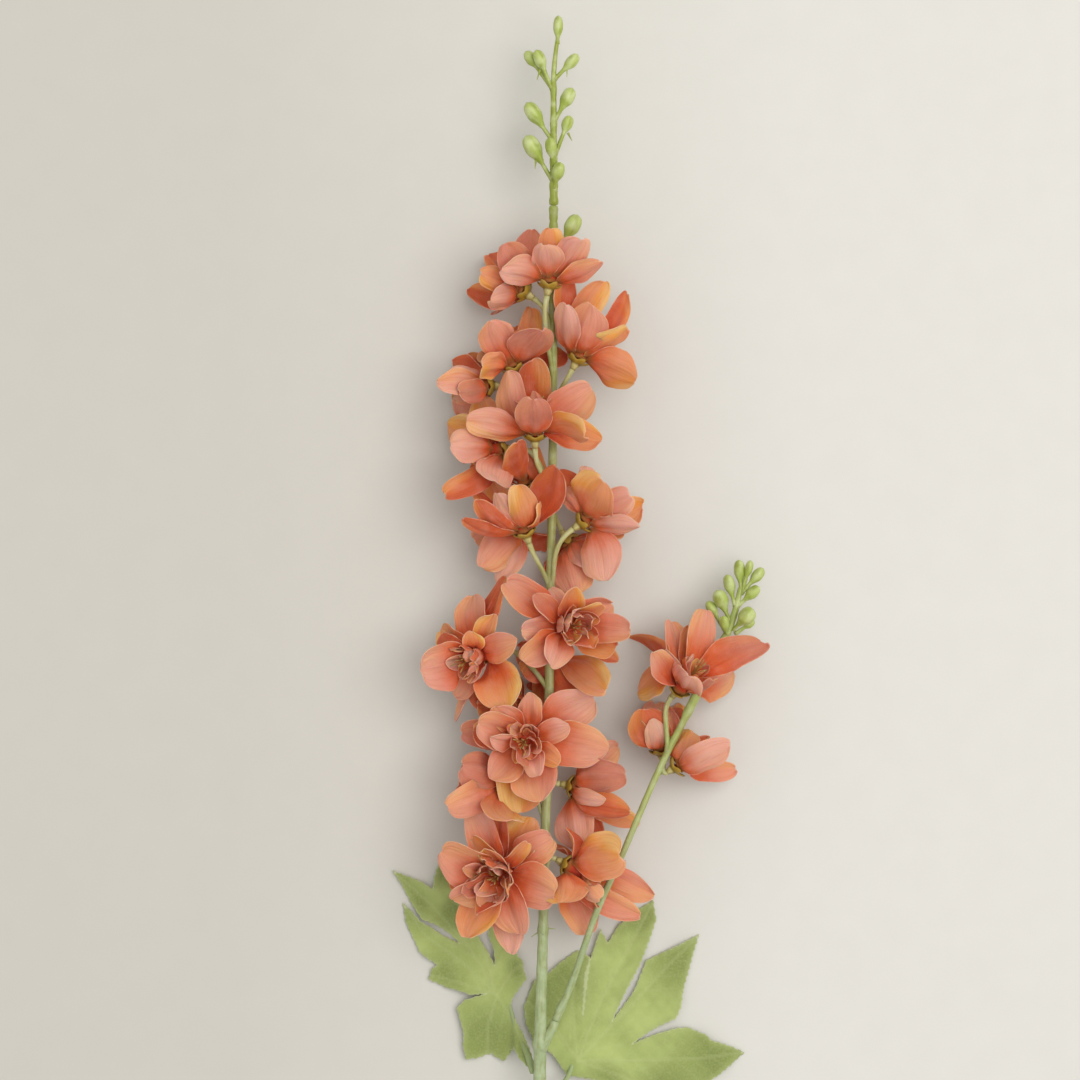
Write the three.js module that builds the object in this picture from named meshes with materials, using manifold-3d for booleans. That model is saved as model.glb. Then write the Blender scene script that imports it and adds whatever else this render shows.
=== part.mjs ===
// A cut stem of double delphinium in silk and moulded plastic, lying on a flat surface.
// Millimetres, +Z up, the spike's tip towards +Y, the origin on the surface under the middle.
//
// The florets, buds and leaves are set out on a lay-out sheet: column counts to the right, row counts
// down, in squares of SQUARE mm, and lift is the height in mm over the level of the spike's axis.

import * as THREE from "three";
import { mergeVertices } from "three/addons/utils/BufferGeometryUtils.js";
import Module from "manifold-3d";

const wasm = await Module();
wasm.setup();

// ---------------------------------------------------------------- driving dimensions (mm)

const SQUARE = 0.455; // one square of the lay-out sheet
const SHEET_MIDDLE = 540; // column and row of the sheet's middle
const SIGHT = 1365; // height of the sighting point over the sheet: higher things are set closer in
const AXIS_HEIGHT = 27; // the spike's axis over the surface, resting on its back florets

const PETAL_THICKNESS = 0.8; // fabric petals, thick enough to cut as a solid
const LEAF_THICKNESS = 0.8;
const FLAP_FOLD = 2; // width of the fold between a leaf and its flap
const CLEARANCE = 0.35; // between separate pieces
const BED = PETAL_THICKNESS / 2; // middle of a petal that lies on the surface
const BED_SOFTNESS = 6; // petals start to spread this high over the surface

const COLLAR_HEIGHT = 9.6; // the petals of a floret sit on this collar
const COLLAR_RADIUS = 4.2; // at its foot
const COLLAR_TAPER = 0.16; // its radius gets this much less per mm of height
const ROOT_THICKNESS = 1.0; // of a petal where it leaves the collar's wall
const PETAL_GAP = 0.1; // between petals of one floret
const BORE_RADIUS = 1.5; // the pin goes through the collar
const PIN_RADIUS = 1.0;
const CALYX_HEIGHT = 5;
const CALYX_RADIUS = 4.2;
const STAMEN_LENGTH = 6;
const PEDICEL_RADIUS = 1.3;
const LEVELS = 8; // at which petals leave the collar, the most open ones lowest
const FIRST_LEVEL = 0.9; // height along the collar
const LEVEL_STEP = 1.14;
const ROOT_TURN = 18; // degrees round the collar from the middle of a petal's root to its end
const NEIGHBOUR_TURN = 54; // petals nearer than this, in degrees round the collar, are on different levels
const WALL_TURN = 110; // widest stretch of the collar's wall, in degrees round it
const FULLNESS = 1.12; // of the widths given for the petals on the sheet
const FACE_TURN = 0.8; // how far the petals of florets that look sideways turn their broad side up or down

// ---------------------------------------------------------------- finishes

const finish = (color, roughness) => new THREE.MeshStandardMaterial({ color, roughness, metalness: 0 });
const SALMON = finish(0xd9826c, 0.85);
const OCHRE = finish(0x9a7a1c, 0.6);
const STEM_GREEN = finish(0xa0b070, 0.55);
const BUD_GREEN = finish(0xa2b45c, 0.5);
const LEAF_GREEN = finish(0xa3b96c, 0.9);

// ---------------------------------------------------------------- small helpers

const vector = (x, y, z) => new THREE.Vector3(x, y, z);
const radians = THREE.MathUtils.degToRad;
const mix = (a, b, t) => a.clone().lerp(b, t);

// A place of the lay-out sheet in mm.
function place(column, row, lift = 0) {
  const scale = SQUARE * (1 - lift / SIGHT);
  return vector((column - SHEET_MIDDLE) * scale, (SHEET_MIDDLE - row) * scale, AXIS_HEIGHT + lift);
}

// A direction: turn is counted in the sheet from the right, counter-clockwise, and rise out of it.
function direction(turn, rise) {
  const level = Math.cos(radians(rise));
  return vector(level * Math.cos(radians(turn)), level * Math.sin(radians(turn)), Math.sin(radians(rise)));
}

// Height of a soft piece that the surface bears: it spreads out near the surface and never reaches below.
function bedded(point) {
  const over = point.z - BED - BED_SOFTNESS;
  if (over < 0) point.z = BED + BED_SOFTNESS * Math.exp(over / BED_SOFTNESS);
  return point;
}

// The same pick from 0 to 1 for the same pair of numbers, for small natural differences.
function pick(i, k) {
  const wave = Math.sin(i * 12.9898 + k * 78.233) * 43758.5453;
  return wave - Math.floor(wave);
}

// ---------------------------------------------------------------- solids

// The triangles between two rows of points across a blade.
function zip(first, second) {
  const faces = [];
  let i = 0;
  let j = 0;
  while (i < first.length - 1 || j < second.length - 1) {
    const stepFirst = first.length > 1 ? (i + 1) / (first.length - 1) : Infinity;
    const stepSecond = second.length > 1 ? (j + 1) / (second.length - 1) : Infinity;
    if (i < first.length - 1 && stepFirst <= stepSecond) {
      faces.push([first[i], first[i + 1], second[j]]);
      i += 1;
    } else {
      faces.push([first[i], second[j + 1], second[j]]);
      j += 1;
    }
  }
  return faces;
}

// The surface of a blade from rows of points over its middle: under and over are its two faces' points,
// row by row, faces split both alike, and rim is its edge. An open blade's first row has no edge.
function shell(rows, thickness) {
  const middle = rows.flat();
  let next = 0;
  const numbered = rows.map((row) => row.map(() => next++));
  const faces = numbered.slice(1).flatMap((row, k) => zip(numbered[k], row));
  const normals = middle.map(() => vector(0, 0, 0));
  const sides = new Map();
  for (const [a, b, c] of faces) {
    const across = middle[b].clone().sub(middle[a]).cross(middle[c].clone().sub(middle[a]));
    for (const corner of [a, b, c]) normals[corner].add(across);
    for (const [p, q] of [[a, b], [b, c], [c, a]]) sides.set(`${p},${q}`, [p, q]);
  }
  normals.forEach((normal) => normal.normalize());
  const face = (distance) => middle.map((p, k) => p.clone().addScaledVector(normals[k], distance));
  const rim = [...sides.values()].filter(([p, q]) => !sides.has(`${q},${p}`));
  return { under: face(thickness / 2), over: face(-thickness / 2), faces, rim, rootCount: rows[0].length };
}

// The triangles of a shell, from the numbers of its under and over points.
function shellFaces({ faces, rim, rootCount }, under, over, open) {
  const edges = open ? rim.filter(([p, q]) => p >= rootCount || q >= rootCount) : rim;
  return [
    ...faces.map(([a, b, c]) => [under[a], under[b], under[c]]),
    ...faces.map(([a, b, c]) => [over[a], over[c], over[b]]),
    ...edges.flatMap(([p, q]) => [[under[q], under[p], over[p]], [under[q], over[p], over[q]]]),
  ];
}

function geometryOf(points, faces) {
  const geometry = new THREE.BufferGeometry().setFromPoints(points);
  geometry.setIndex(faces.flat());
  return geometry;
}

// A closed blade from rows of points over its middle surface, as points and triangles.
function blade(rows, thickness) {
  const made = shell(rows, thickness);
  const count = made.under.length;
  const under = made.under.map((_, k) => k);
  const over = under.map((k) => k + count);
  return { points: [...made.under, ...made.over], faces: shellFaces(made, under, over, false) };
}

// A round stalk along a curve: a lathed body bent along it. profile lists [share of length, radius].
function stalk(curve, profile, sides) {
  const outline = [[0, 0], ...profile.map(([share, radius]) => [radius, share]), [0, profile.at(-1)[0]]];
  const body = new THREE.LatheGeometry(outline.map(([x, y]) => new THREE.Vector2(x, y)), sides);
  const geometry = mergeVertices(bare(body), 1e-5);
  const spots = geometry.attributes.position;
  let across = curve.getTangent(0).cross(vector(0.31, 0.17, 0.93)).normalize();
  const frames = new Map();
  for (const share of [...new Set(outline.map(([, y]) => y))].sort((a, b) => a - b)) {
    const along = curve.getTangent(share);
    across = across.clone().addScaledVector(along, -across.dot(along)).normalize();
    frames.set(share.toFixed(5), [curve.getPoint(share), across.clone(), along.cross(across)]);
  }
  for (let k = 0; k < spots.count; k += 1) {
    const [centre, u, v] = frames.get(spots.getY(k).toFixed(5));
    const moved = centre.clone().addScaledVector(u, spots.getX(k)).addScaledVector(v, spots.getZ(k));
    spots.setXYZ(k, moved.x, moved.y, moved.z);
  }
  return geometry;
}

// A geometry with its positions and triangles alone.
function bare(geometry) {
  geometry.deleteAttribute("normal");
  geometry.deleteAttribute("uv");
  return geometry;
}

// A body lathed round the Z axis, set at a point and turned so that its Z axis is the given one.
function lathed(profile, sides, at, axis) {
  const outline = profile.map(([radius, height]) => new THREE.Vector2(radius, height));
  const body = mergeVertices(bare(new THREE.LatheGeometry(outline, sides)), 1e-5);
  body.rotateX(Math.PI / 2);
  body.applyQuaternion(new THREE.Quaternion().setFromUnitVectors(vector(0, 0, 1), axis));
  body.translate(at.x, at.y, at.z);
  return body;
}

// A geometry as a solid that can be joined and cut.
function solid(geometry) {
  const merged = mergeVertices(bare(geometry.clone()), 1e-4);
  const made = new wasm.Manifold(new wasm.Mesh({
    numProp: 3,
    vertProperties: new Float32Array(merged.attributes.position.array),
    triVerts: new Uint32Array(merged.index.array),
  }));
  if (made.volume() >= 0) return made;
  const turned = merged.index.array.slice();
  for (let k = 0; k < turned.length; k += 3) [turned[k + 1], turned[k + 2]] = [turned[k + 2], turned[k + 1]];
  return new wasm.Manifold(new wasm.Mesh({
    numProp: 3,
    vertProperties: new Float32Array(merged.attributes.position.array),
    triVerts: new Uint32Array(turned),
  }));
}

// Several geometries joined in one body. A scrap that the join leaves loose is dropped.
function joined(geometries) {
  const whole = geometries.map(solid).reduce((sum, piece) => sum.add(piece));
  const body = whole.decompose().reduce((most, piece) => (piece.volume() > most.volume() ? piece : most));
  const mesh = body.getMesh();
  const geometry = new THREE.BufferGeometry();
  geometry.setAttribute("position", new THREE.BufferAttribute(new Float32Array(mesh.vertProperties), 3));
  geometry.setIndex(new THREE.BufferAttribute(new Uint32Array(mesh.triVerts), 1));
  return geometry;
}

// ---------------------------------------------------------------- keeping pieces clear of each other

const obstacles = []; // every placed piece's triangles, with the node that owns them

// Triangles ready for testing: corners, the way along each side, and a box round each and round them all.
function testable({ points, faces }) {
  const spots = points.map((point) => point.toArray());
  const triangles = faces.map((numbers) => {
    const corners = numbers.map((number) => spots[number]);
    const ways = corners.map((from, k) => corners[(k + 1) % 3].map((value, axis) => value - from[axis]));
    const low = [0, 1, 2].map((axis) => Math.min(corners[0][axis], corners[1][axis], corners[2][axis]));
    const high = [0, 1, 2].map((axis) => Math.max(corners[0][axis], corners[1][axis], corners[2][axis]));
    return { numbers, corners, ways, low, high };
  });
  const low = [0, 1, 2].map((axis) => Math.min(...triangles.map((triangle) => triangle.low[axis])));
  const high = [0, 1, 2].map((axis) => Math.max(...triangles.map((triangle) => triangle.high[axis])));
  return { triangles, low, high };
}

function partsOf(geometry) {
  const spots = geometry.attributes.position;
  const points = Array.from({ length: spots.count }, (_, k) => vector().fromBufferAttribute(spots, k));
  const faces = [];
  for (let k = 0; k < geometry.index.count; k += 3)
    faces.push(Array.from(geometry.index.array.slice(k, k + 3)));
  return { points, faces };
}

function addObstacle(owner, parts, isCollar = false) {
  obstacles.push({ owner, isCollar, ...testable(parts) });
}

function near(one, two) {
  return one.low[0] <= two.high[0] && two.low[0] <= one.high[0] && one.low[1] <= two.high[1]
    && two.low[1] <= one.high[1] && one.low[2] <= two.high[2] && two.low[2] <= one.high[2];
}

// Whether a side of one triangle goes through the other one.
function pierces(one, other) {
  const [a] = other.corners;
  const [ab, , ca] = other.ways;
  for (let k = 0; k < 3; k += 1) {
    const start = one.corners[k];
    const way = one.ways[k];
    const px = way[2] * ca[1] - way[1] * ca[2];
    const py = way[0] * ca[2] - way[2] * ca[0];
    const pz = way[1] * ca[0] - way[0] * ca[1];
    const det = ab[0] * px + ab[1] * py + ab[2] * pz;
    if (Math.abs(det) < 1e-12) continue;
    const fx = start[0] - a[0];
    const fy = start[1] - a[1];
    const fz = start[2] - a[2];
    const u = (fx * px + fy * py + fz * pz) / det;
    if (u < 0 || u > 1) continue;
    const qx = fy * ab[2] - fz * ab[1];
    const qy = fz * ab[0] - fx * ab[2];
    const qz = fx * ab[1] - fy * ab[0];
    const v = (way[0] * qx + way[1] * qy + way[2] * qz) / det;
    if (v < 0 || u + v > 1) continue;
    const t = -(ca[0] * qx + ca[1] * qy + ca[2] * qz) / det;
    if (t >= 0 && t <= 1) return true;
  }
  return false;
}

const meet = (one, two) => near(one, two) && (pierces(one, two) || pierces(two, one));

function cross(shape, other) {
  if (!near(shape, other)) return false;
  const others = other.triangles.filter((triangle) => near(triangle, shape));
  return shape.triangles.some((one) => others.some((two) => meet(one, two)));
}

function crossesItself({ triangles }) {
  return triangles.some((one, k) => triangles.slice(k + 1).some((two) =>
    near(one, two) && !one.numbers.some((corner) => two.numbers.includes(corner)) && meet(one, two)));
}

// Whether a shape crosses nothing among the obstacles that count. What stood in the way last is tried
// first, because it mostly still does.
function isFree(shape, counts) {
  const k = obstacles.findIndex((other) => counts(other) && cross(shape, other));
  if (k > 0) obstacles.unshift(...obstacles.splice(k, 1));
  return k < 0;
}

// Whether a petal keeps off the other petals of its floret, its collar, every other node and itself.
function isClear(owner, petal, rows) {
  const whole = testable(blade(rows, PETAL_THICKNESS + PETAL_GAP));
  if (!isFree(whole, (other) => other.owner === owner && !other.isCollar)) return false;
  const free = testable(blade(rows.slice(1), PETAL_THICKNESS));
  if (!isFree(free, (other) => other.owner === owner && other.isCollar)) return false;
  const wide = testable(blade(petalRows(petal, CLEARANCE), PETAL_THICKNESS + 2 * CLEARANCE));
  return isFree(wide, (other) => other.owner !== owner) && !crossesItself(whole);
}

// ---------------------------------------------------------------- petals

// Rows of a petal: share of its length, share of its width, and how many points go across.
const BROAD_ROWS = [[0, 0, 2], [0.3, 0.55, 2], [0.66, 1, 3], [0.9, 0.82, 3], [1, 0.4, 2]];
const BACK_ROWS = [[0, 0, 2], [0.35, 0.62, 2], [0.78, 1, 3], [1, 0.55, 2]];
const SLIM_ROWS = [[0, 0, 2], [0.55, 0.95, 3], [0.85, 0.8, 2], [1, 0, 1]];

// The middle surface of a petal. Its spine leaves the collar outwards and bends to the tip, its sides
// turn up as a scoop, and roll turns it edge-on about the spine.
function petalRows({ corners, root, out, tip, axis, level, inwards, arch, width, cup, roll, rows }, margin) {
  const length = tip.distanceTo(root);
  const outwards = 0.34 - 0.035 * level;
  const onwards = 0.08 + 0.05 * level + arch;
  const knee = root.clone().addScaledVector(out, outwards * length).addScaledVector(axis, onwards * length);
  const spine = new THREE.QuadraticBezierCurve3(root, knee, tip);
  const side = inwards.clone().cross(tip.clone().sub(root)).normalize();
  return rows.map(([share, spread, count]) => {
    if (share === 0) return corners.map((corner) => corner.clone());
    const along = spine.getTangent(share);
    const turn = radians(roll) * Math.min(1, share * 2);
    const across = side.clone().applyAxisAngle(along, turn);
    const up = along.clone().cross(across);
    const centre = spine.getPoint(share);
    if (share === 1) centre.addScaledVector(along, margin);
    const half = (width / 2) * spread + (spread > 0 ? margin : 0);
    return Array.from({ length: count }, (_, k) => {
      const v = count > 1 ? (2 * k) / (count - 1) - 1 : 0;
      const scoop = cup * half * v * v;
      return bedded(centre.clone().addScaledVector(across, v * half).addScaledVector(up, scoop));
    });
  });
}

// A petal settles where nothing else is: its tip is lifted or sunk a little or swung round the floret's
// axis, it turns about its spine, its bend changes, and last its length is cut.
const SETTLING = [];
for (const shrink of [1, 0.86, 0.74])
  for (const lift of [0, 3, -3, 6, -6, 10, -10, 15, -15])
    for (const twist of [0, 12, -12, 26, -26, 45, -45])
      for (const swing of [0, 8, -8])
        for (const arch of [0, 0.14]) {
          const shift = Math.abs(lift) / 3 + Math.abs(swing) / 4;
          const change = 16 * (1 - shrink) + Math.abs(twist) / 10 + arch * 5;
          SETTLING.push({ shrink, lift, twist, swing, arch, cost: shift + change });
        }
SETTLING.sort((a, b) => a.cost - b.cost);

function settledPetal(owner, petal) {
  for (const { shrink, lift, twist, swing, arch } of SETTLING) {
    const way = petal.tip.clone().sub(petal.root).multiplyScalar(shrink).add(vector(0, 0, lift));
    way.applyAxisAngle(petal.axis, radians(swing));
    const trial = {
      ...petal, arch, tip: petal.root.clone().add(way), roll: petal.roll + twist,
      width: petal.width * (0.5 + shrink / 2),
    };
    const rows = petalRows(trial, 0);
    if (isClear(owner, trial, rows)) return rows;
  }
  return null;
}

// ---------------------------------------------------------------- florets

// Each floret: at is the foot of its collar on the sheet, face its axis as [turn, rise], foot the place
// on the stem that its stalk leaves. petals are [tip column, tip row, length, width, roll]: a length
// below 0 sets the tip behind the root, away from the viewer. scoops is the count of small inner petals,
// and back the count of outer petals on the side away from the viewer.
const FLORETS = [
  {
    name: "14", at: [529, 738, 5], face: [200, 80], foot: 775, scoops: 5, back: 2,
    petals: [
      [590, 702, 30, 18, 0], [602, 750, 31, 19, 0], [541, 797, 28, 20, 0], [522, 810, -32, 20, 0],
      [480, 723, 25, 15, 0], [463, 734, -30, 12, 0], [496, 708, 22, 11, 0], [530, 697, 20, 10, 0],
      [567, 727, 20, 10, 0], [493, 742, 18, 9, 0], [557, 762, 18, 9, 0], [519, 766, 17, 8, 0],
      [536, 773, 21, 10, 0],
    ],
  },
  {
    name: "13", at: [560, 626, 9], face: [0, 62], foot: 668, scoops: 4, back: 2,
    petals: [
      [507, 583, -29, 14, 0], [537, 596, 21, 9, 0], [552, 590, -22, 9, 0], [573, 589, 21, 11, 0],
      [601, 605, 24, 8, 0], [630, 632, 32, 12, 0], [524, 630, 19, 12, 0], [552, 665, 20, 14, 0],
      [614, 659, -29, 9, 40], [592, 645, 20, 12, 0], [526, 661, 24, 13, 0],
    ],
  },
  {
    name: "17", at: [507, 870, 3], face: [200, 66], foot: 905, scoops: 4, back: 1,
    petals: [
      [443, 852, 31, 19, 0], [474, 812, -30, 13, 0], [496, 806, -28, 9, 30], [474, 838, 20, 11, 0],
      [528, 820, 25, 17, 0], [551, 840, 27, 15, 0], [553, 893, 26, 20, 0], [518, 932, 29, 16, 0],
      [511, 947, -34, 14, 0], [470, 932, 30, 16, 0], [455, 900, 27, 14, 0], [485, 905, 20, 12, 0],
      [527, 842, 19, 8, 45],
    ],
  },
  {
    name: "12", at: [486, 652, 2], face: [200, 45], foot: 690, scoops: 4, back: 2,
    petals: [
      [423, 669, 30, 21, 20], [455, 715, -32, 11, 50], [506, 704, 28, 19, -60],
      [471, 597, -27, 17, 0], [443, 631, -24, 13, 0], [492, 617, 19, 9, 30], [504, 580, -33, 14, 0],
      [514, 643, 22, 12, 0], [472, 634, 15, 9, 50],
    ],
  },
  {
    name: "18", at: [567, 865, 6], face: [332, 6], foot: 886, scoops: 2, back: 2,
    petals: [
      [620, 855, 28, 20, 20], [561, 904, 23, 20, -50], [588, 930, -31, 18, 0],
      [649, 893, -37, 12, 0], [636, 916, -34, 11, 0], [552, 847, -15, 11, 0],
      [568, 828, -18, 9, 30],
    ],
  },
  {
    name: "07", at: [535, 436, 9], face: [90, 2], foot: 498, scoops: 3, back: 1,
    petals: [
      [533, 401, 22, 15, 0], [470, 422, 30, 13, 35], [584, 436, 24, 14, -30],
      [598, 440, -29, 14, 35], [499, 407, -25, 8, 40], [508, 376, 26, 14, 0],
      [534, 365, -30, 15, 0], [590, 392, 30, 20, -15],
    ],
  },
  {
    name: "10", at: [525, 532, 7], face: [110, 8], foot: 590, scoops: 3, back: 2,
    petals: [
      [488, 480, -28, 11, 0], [518, 487, 23, 12, 0], [556, 471, -29, 16, 0], [541, 505, 16, 10, 0],
      [466, 520, 28, 7, 50], [498, 495, 22, 9, 0], [476, 490, -26, 7, 0], [480, 504, 25, 8, 20],
    ],
  },
  {
    name: "11", at: [583, 522, 6], face: [35, -5], foot: 596, scoops: 3, back: 2,
    petals: [
      [600, 484, 25, 22, 0], [588, 468, -24, 11, -20], [630, 496, 26, 13, 0],
      [638, 508, -28, 15, 0], [635, 526, 25, 11, 0], [605, 577, 27, 17, -40],
      [560, 473, -25, 9, -40], [563, 491, 18, 9, 0],
    ],
  },
  {
    name: "03", at: [578, 359, 3], face: [62, -6], foot: 408, scoops: 3, back: 2,
    petals: [
      [590, 308, 26, 17, 0], [564, 310, 23, 12, 0], [564, 277, -33, 12, 0], [602, 285, 31, 12, 0],
      [626, 297, -29, 9, 50], [626, 329, 26, 13, 0], [630, 380, 27, 18, -15],
    ],
  },
  {
    name: "01", at: [524, 292, 1], face: [145, -12], foot: 340, scoops: 3, back: 2,
    petals: [
      [508, 247, 25, 15, 0], [492, 299, 17, 13, 0], [473, 290, -26, 12, 0], [483, 275, 22, 10, 0],
      [491, 257, -27, 11, 0], [531, 231, -29, 12, 40],
    ],
  },
  {
    name: "02", at: [549, 284, 8], face: [80, -8], foot: 384, scoops: 3, back: 2,
    petals: [
      [504, 269, 24, 13, 35], [545, 245, 20, 13, 0], [551, 229, 25, 11, 0], [581, 239, 26, 13, 0],
      [598, 262, 26, 9, 0],
    ],
  },
  {
    name: "04", at: [514, 368, 3], face: [108, -8], foot: 420, scoops: 3, back: 2,
    petals: [
      [492, 323, 25, 15, 0], [482, 366, 18, 13, 30], [540, 331, 24, 19, 0], [515, 325, -21, 9, 0],
      [531, 309, -27, 10, 20], [563, 350, -26, 14, 40],
    ],
  },
  {
    name: "05", at: [489, 386, -3], face: [180, 0], foot: 430, scoops: 3, back: 2,
    petals: [[441, 383, 24, 12, 10], [455, 363, -22, 11, 0], [473, 404, -19, 13, 0], [462, 393, 16, 10, 0]],
  },
  {
    name: "08", at: [502, 450, 1], face: [188, 5], foot: 496, scoops: 3, back: 2,
    petals: [
      [482, 399, -26, 13, 30], [451, 424, -28, 16, 0], [453, 444, 24, 14, 0],
      [448, 494, 33, 11, 30], [495, 484, 23, 16, 40], [474, 474, -22, 13, 0],
    ],
  },
  {
    name: "09", at: [526, 484, -5], face: [110, 8], foot: 522, scoops: 3, back: 1,
    petals: [[509, 446, 22, 12, 20], [537, 445, 22, 12, 20]],
  },
  {
    name: "10b", at: [523, 526, -13], face: [235, -12], foot: 500, scoops: 2, back: 2,
    petals: [
      [484, 565, 27, 15, 0], [500, 577, 27, 11, 30], [540, 550, -20, 13, -40],
      [475, 538, -20, 13, 30],
    ],
  },
  {
    name: "11b", at: [567, 540, -13], face: [300, -12], foot: 512, scoops: 2, back: 2,
    petals: [[577, 590, 26, 18, 0], [557, 588, -25, 13, 0], [598, 574, 25, 13, 0]],
  },
  {
    name: "13b", at: [552, 658, -12], face: [290, -10], foot: 622, scoops: 2, back: 2,
    petals: [
      [577, 706, 27, 18, 0], [604, 686, 28, 16, 0], [549, 702, -22, 15, 0], [519, 650, -22, 13, 80],
      [524, 674, 20, 12, -40],
    ],
  },
  {
    name: "15b", at: [522, 712, -11], face: [160, -8], foot: 738, scoops: 2, back: 2,
    petals: [[474, 690, 25, 13, 0], [480, 706, 21, 13, 0], [504, 684, -20, 13, 0], [484, 722, -22, 13, 0]],
  },
  {
    name: "15", at: [504, 785, -3], face: [195, 8], foot: 822, scoops: 3, back: 2,
    petals: [[466, 765, 23, 16, 0], [452, 804, 27, 14, 0], [511, 814, 20, 18, 60], [462, 784, -22, 12, 0]],
  },
  {
    name: "16", at: [572, 786, -3], face: [350, 8], foot: 845, scoops: 3, back: 2,
    petals: [
      [617, 750, -27, 14, 0], [623, 775, 25, 14, 20], [579, 845, 27, 17, -40],
      [626, 811, 27, 11, 0], [635, 822, -31, 10, 30], [599, 838, -27, 9, 40],
    ],
  },
  {
    name: "19", at: [679, 689, 5], face: [50, 35], foot: 752, branch: true, scoops: 4, back: 2,
    petals: [
      [712, 617, -35, 13, 0], [673, 622, -32, 11, 0], [667, 648, 26, 11, 60],
      [653, 655, 26, 11, -60], [637, 640, -32, 8, 65], [738, 651, 31, 9, 60],
      [760, 643, -41, 14, 0], [740, 683, -28, 14, 0], [690, 676, 20, 15, 0],
      [641, 690, -24, 15, -30], [690, 630, -29, 10, 0], [720, 641, 28, 9, 0],
    ],
  },
  {
    name: "20", at: [661, 750, -9], face: [100, 2], foot: 780, branch: true, scoops: 2, back: 1,
    petals: [
      [645, 712, 21, 17, 0], [656, 706, -24, 14, 0], [673, 709, -21, 13, 0], [680, 705, -25, 9, 0],
      [651, 719, 19, 10, 0],
    ],
  },
  {
    name: "21", at: [677, 766, 0], face: [32, 2], foot: 765, branch: true, scoops: 2, back: 1,
    petals: [[691, 733, 18, 20, 0], [725, 747, 25, 13, 0], [731, 768, -27, 9, 40], [706, 742, -20, 10, 0]],
  },
];

const florets = FLORETS.map((floret, number) => ({
  ...floret, number, at3: place(...floret.at), axis: direction(...floret.face),
  first: vector(0.3, 0.2, 0.9).cross(direction(...floret.face)).normalize(),
}));

// A place of a floret's collar: height along its axis, radius from it, and turn round it in degrees.
function collarPoint(floret, turn, radius, height) {
  const out = floret.first.clone().applyAxisAngle(floret.axis, radians(turn));
  return floret.at3.clone().addScaledVector(floret.axis, height).addScaledVector(out, radius);
}

const levelHeight = (level) => FIRST_LEVEL + LEVEL_STEP * level;
const collarRadius = (height) => COLLAR_RADIUS - COLLAR_TAPER * height;

// A petal whose tip is given on the sheet: what its length has over the way across goes into its height.
function shownPetal(floret, [column, row, length, width, roll]) {
  const from = collarPoint(floret, 0, 0, COLLAR_HEIGHT / 3);
  const flat = place(column, row, from.z - AXIS_HEIGHT);
  const across = Math.hypot(flat.x - from.x, flat.y - from.y);
  const height = Math.sqrt(Math.max(0, length * length - across * across)) * Math.sign(length);
  const tip = place(column, row, from.z - AXIS_HEIGHT + height);
  const turned = FACE_TURN * (1 - Math.abs(floret.axis.z)) * (length < 0 ? 1 : -1);
  const inwards = floret.axis.clone().add(vector(0, 0, turned));
  return { tip, inwards, width: width * FULLNESS, roll, cup: 0.22, rows: BROAD_ROWS, isShown: true };
}

// Petals set by rule round the axis. open is their angle from the axis, spread the angle between them,
// and start the turn of their middle from the side away from the viewer.
function ringPetals(floret, { count, open, length, width, start, spread, cup, rows }) {
  const away = vector(0, 0, -1);
  const first = away.addScaledVector(floret.axis, -away.dot(floret.axis)).normalize();
  const from = collarPoint(floret, 0, 0, COLLAR_HEIGHT / 3);
  return Array.from({ length: count }, (_, k) => {
    const angle = start + spread * (k - (count - 1) / 2) + 16 * (pick(floret.number, k + open) - 0.5);
    const out = first.clone().applyAxisAngle(floret.axis, radians(angle));
    const lean = radians(open + 14 * (pick(floret.number, k + 31) - 0.5));
    const way = floret.axis.clone().multiplyScalar(Math.cos(lean)).addScaledVector(out, Math.sin(lean));
    const tip = from.clone().addScaledVector(way, length * (0.9 + 0.2 * pick(floret.number, k + 53)));
    return { tip, inwards: floret.axis, width, roll: 0, cup, rows, isShown: false };
  });
}

const turnBetween = (one, other) => 180 - Math.abs(180 - Math.abs(one.turn - other.turn));

// Petals leave the collar in the order of their opening: each is a level over neighbours that open wider.
function setLevels(floret, petals) {
  const opening = (petal) => petal.tip.clone().sub(floret.at3).angleTo(floret.axis);
  const set = [];
  for (const petal of [...petals].sort((a, b) => opening(b) - opening(a))) {
    const neighbours = set.filter((other) => turnBetween(petal, other) < NEIGHBOUR_TURN);
    petal.level = Math.max(-1, ...neighbours.map((other) => other.level)) + 1;
    if (petal.level < LEVELS) set.push(petal);
  }
  return set;
}

function petalsOf(floret) {
  const shown = floret.petals.map((petal) => shownPetal(floret, petal));
  const inner = ringPetals(floret, {
    count: floret.scoops, open: 34, length: 14, width: 7.5, start: 40 * floret.number,
    spread: 360 / floret.scoops, cup: 0.35, rows: SLIM_ROWS,
  });
  const back = ringPetals(floret, {
    count: floret.back, open: 68, length: 23, width: 16, start: 0, spread: 62, cup: 0.2, rows: BACK_ROWS,
  });
  const petals = [...shown, ...inner, ...back];
  const second = floret.axis.clone().cross(floret.first);
  for (const petal of petals) {
    const way = petal.tip.clone().sub(floret.at3);
    const turn = THREE.MathUtils.radToDeg(Math.atan2(way.dot(second), way.dot(floret.first)));
    petal.turn = THREE.MathUtils.euclideanModulo(turn, 360);
  }
  return setLevels(floret, petals).map((petal) => {
    const height = levelHeight(petal.level);
    const radius = collarRadius(height);
    const ends = [petal.turn - ROOT_TURN, petal.turn + ROOT_TURN]
      .map((end) => THREE.MathUtils.euclideanModulo(end, 360));
    const root = collarPoint(floret, petal.turn, radius, height);
    return {
      ...petal, ends, root, axis: floret.axis,
      out: root.clone().sub(collarPoint(floret, 0, 0, height)).normalize(),
      corners: ends.map((end) => collarPoint(floret, end, radius, height)),
    };
  });
}

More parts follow.
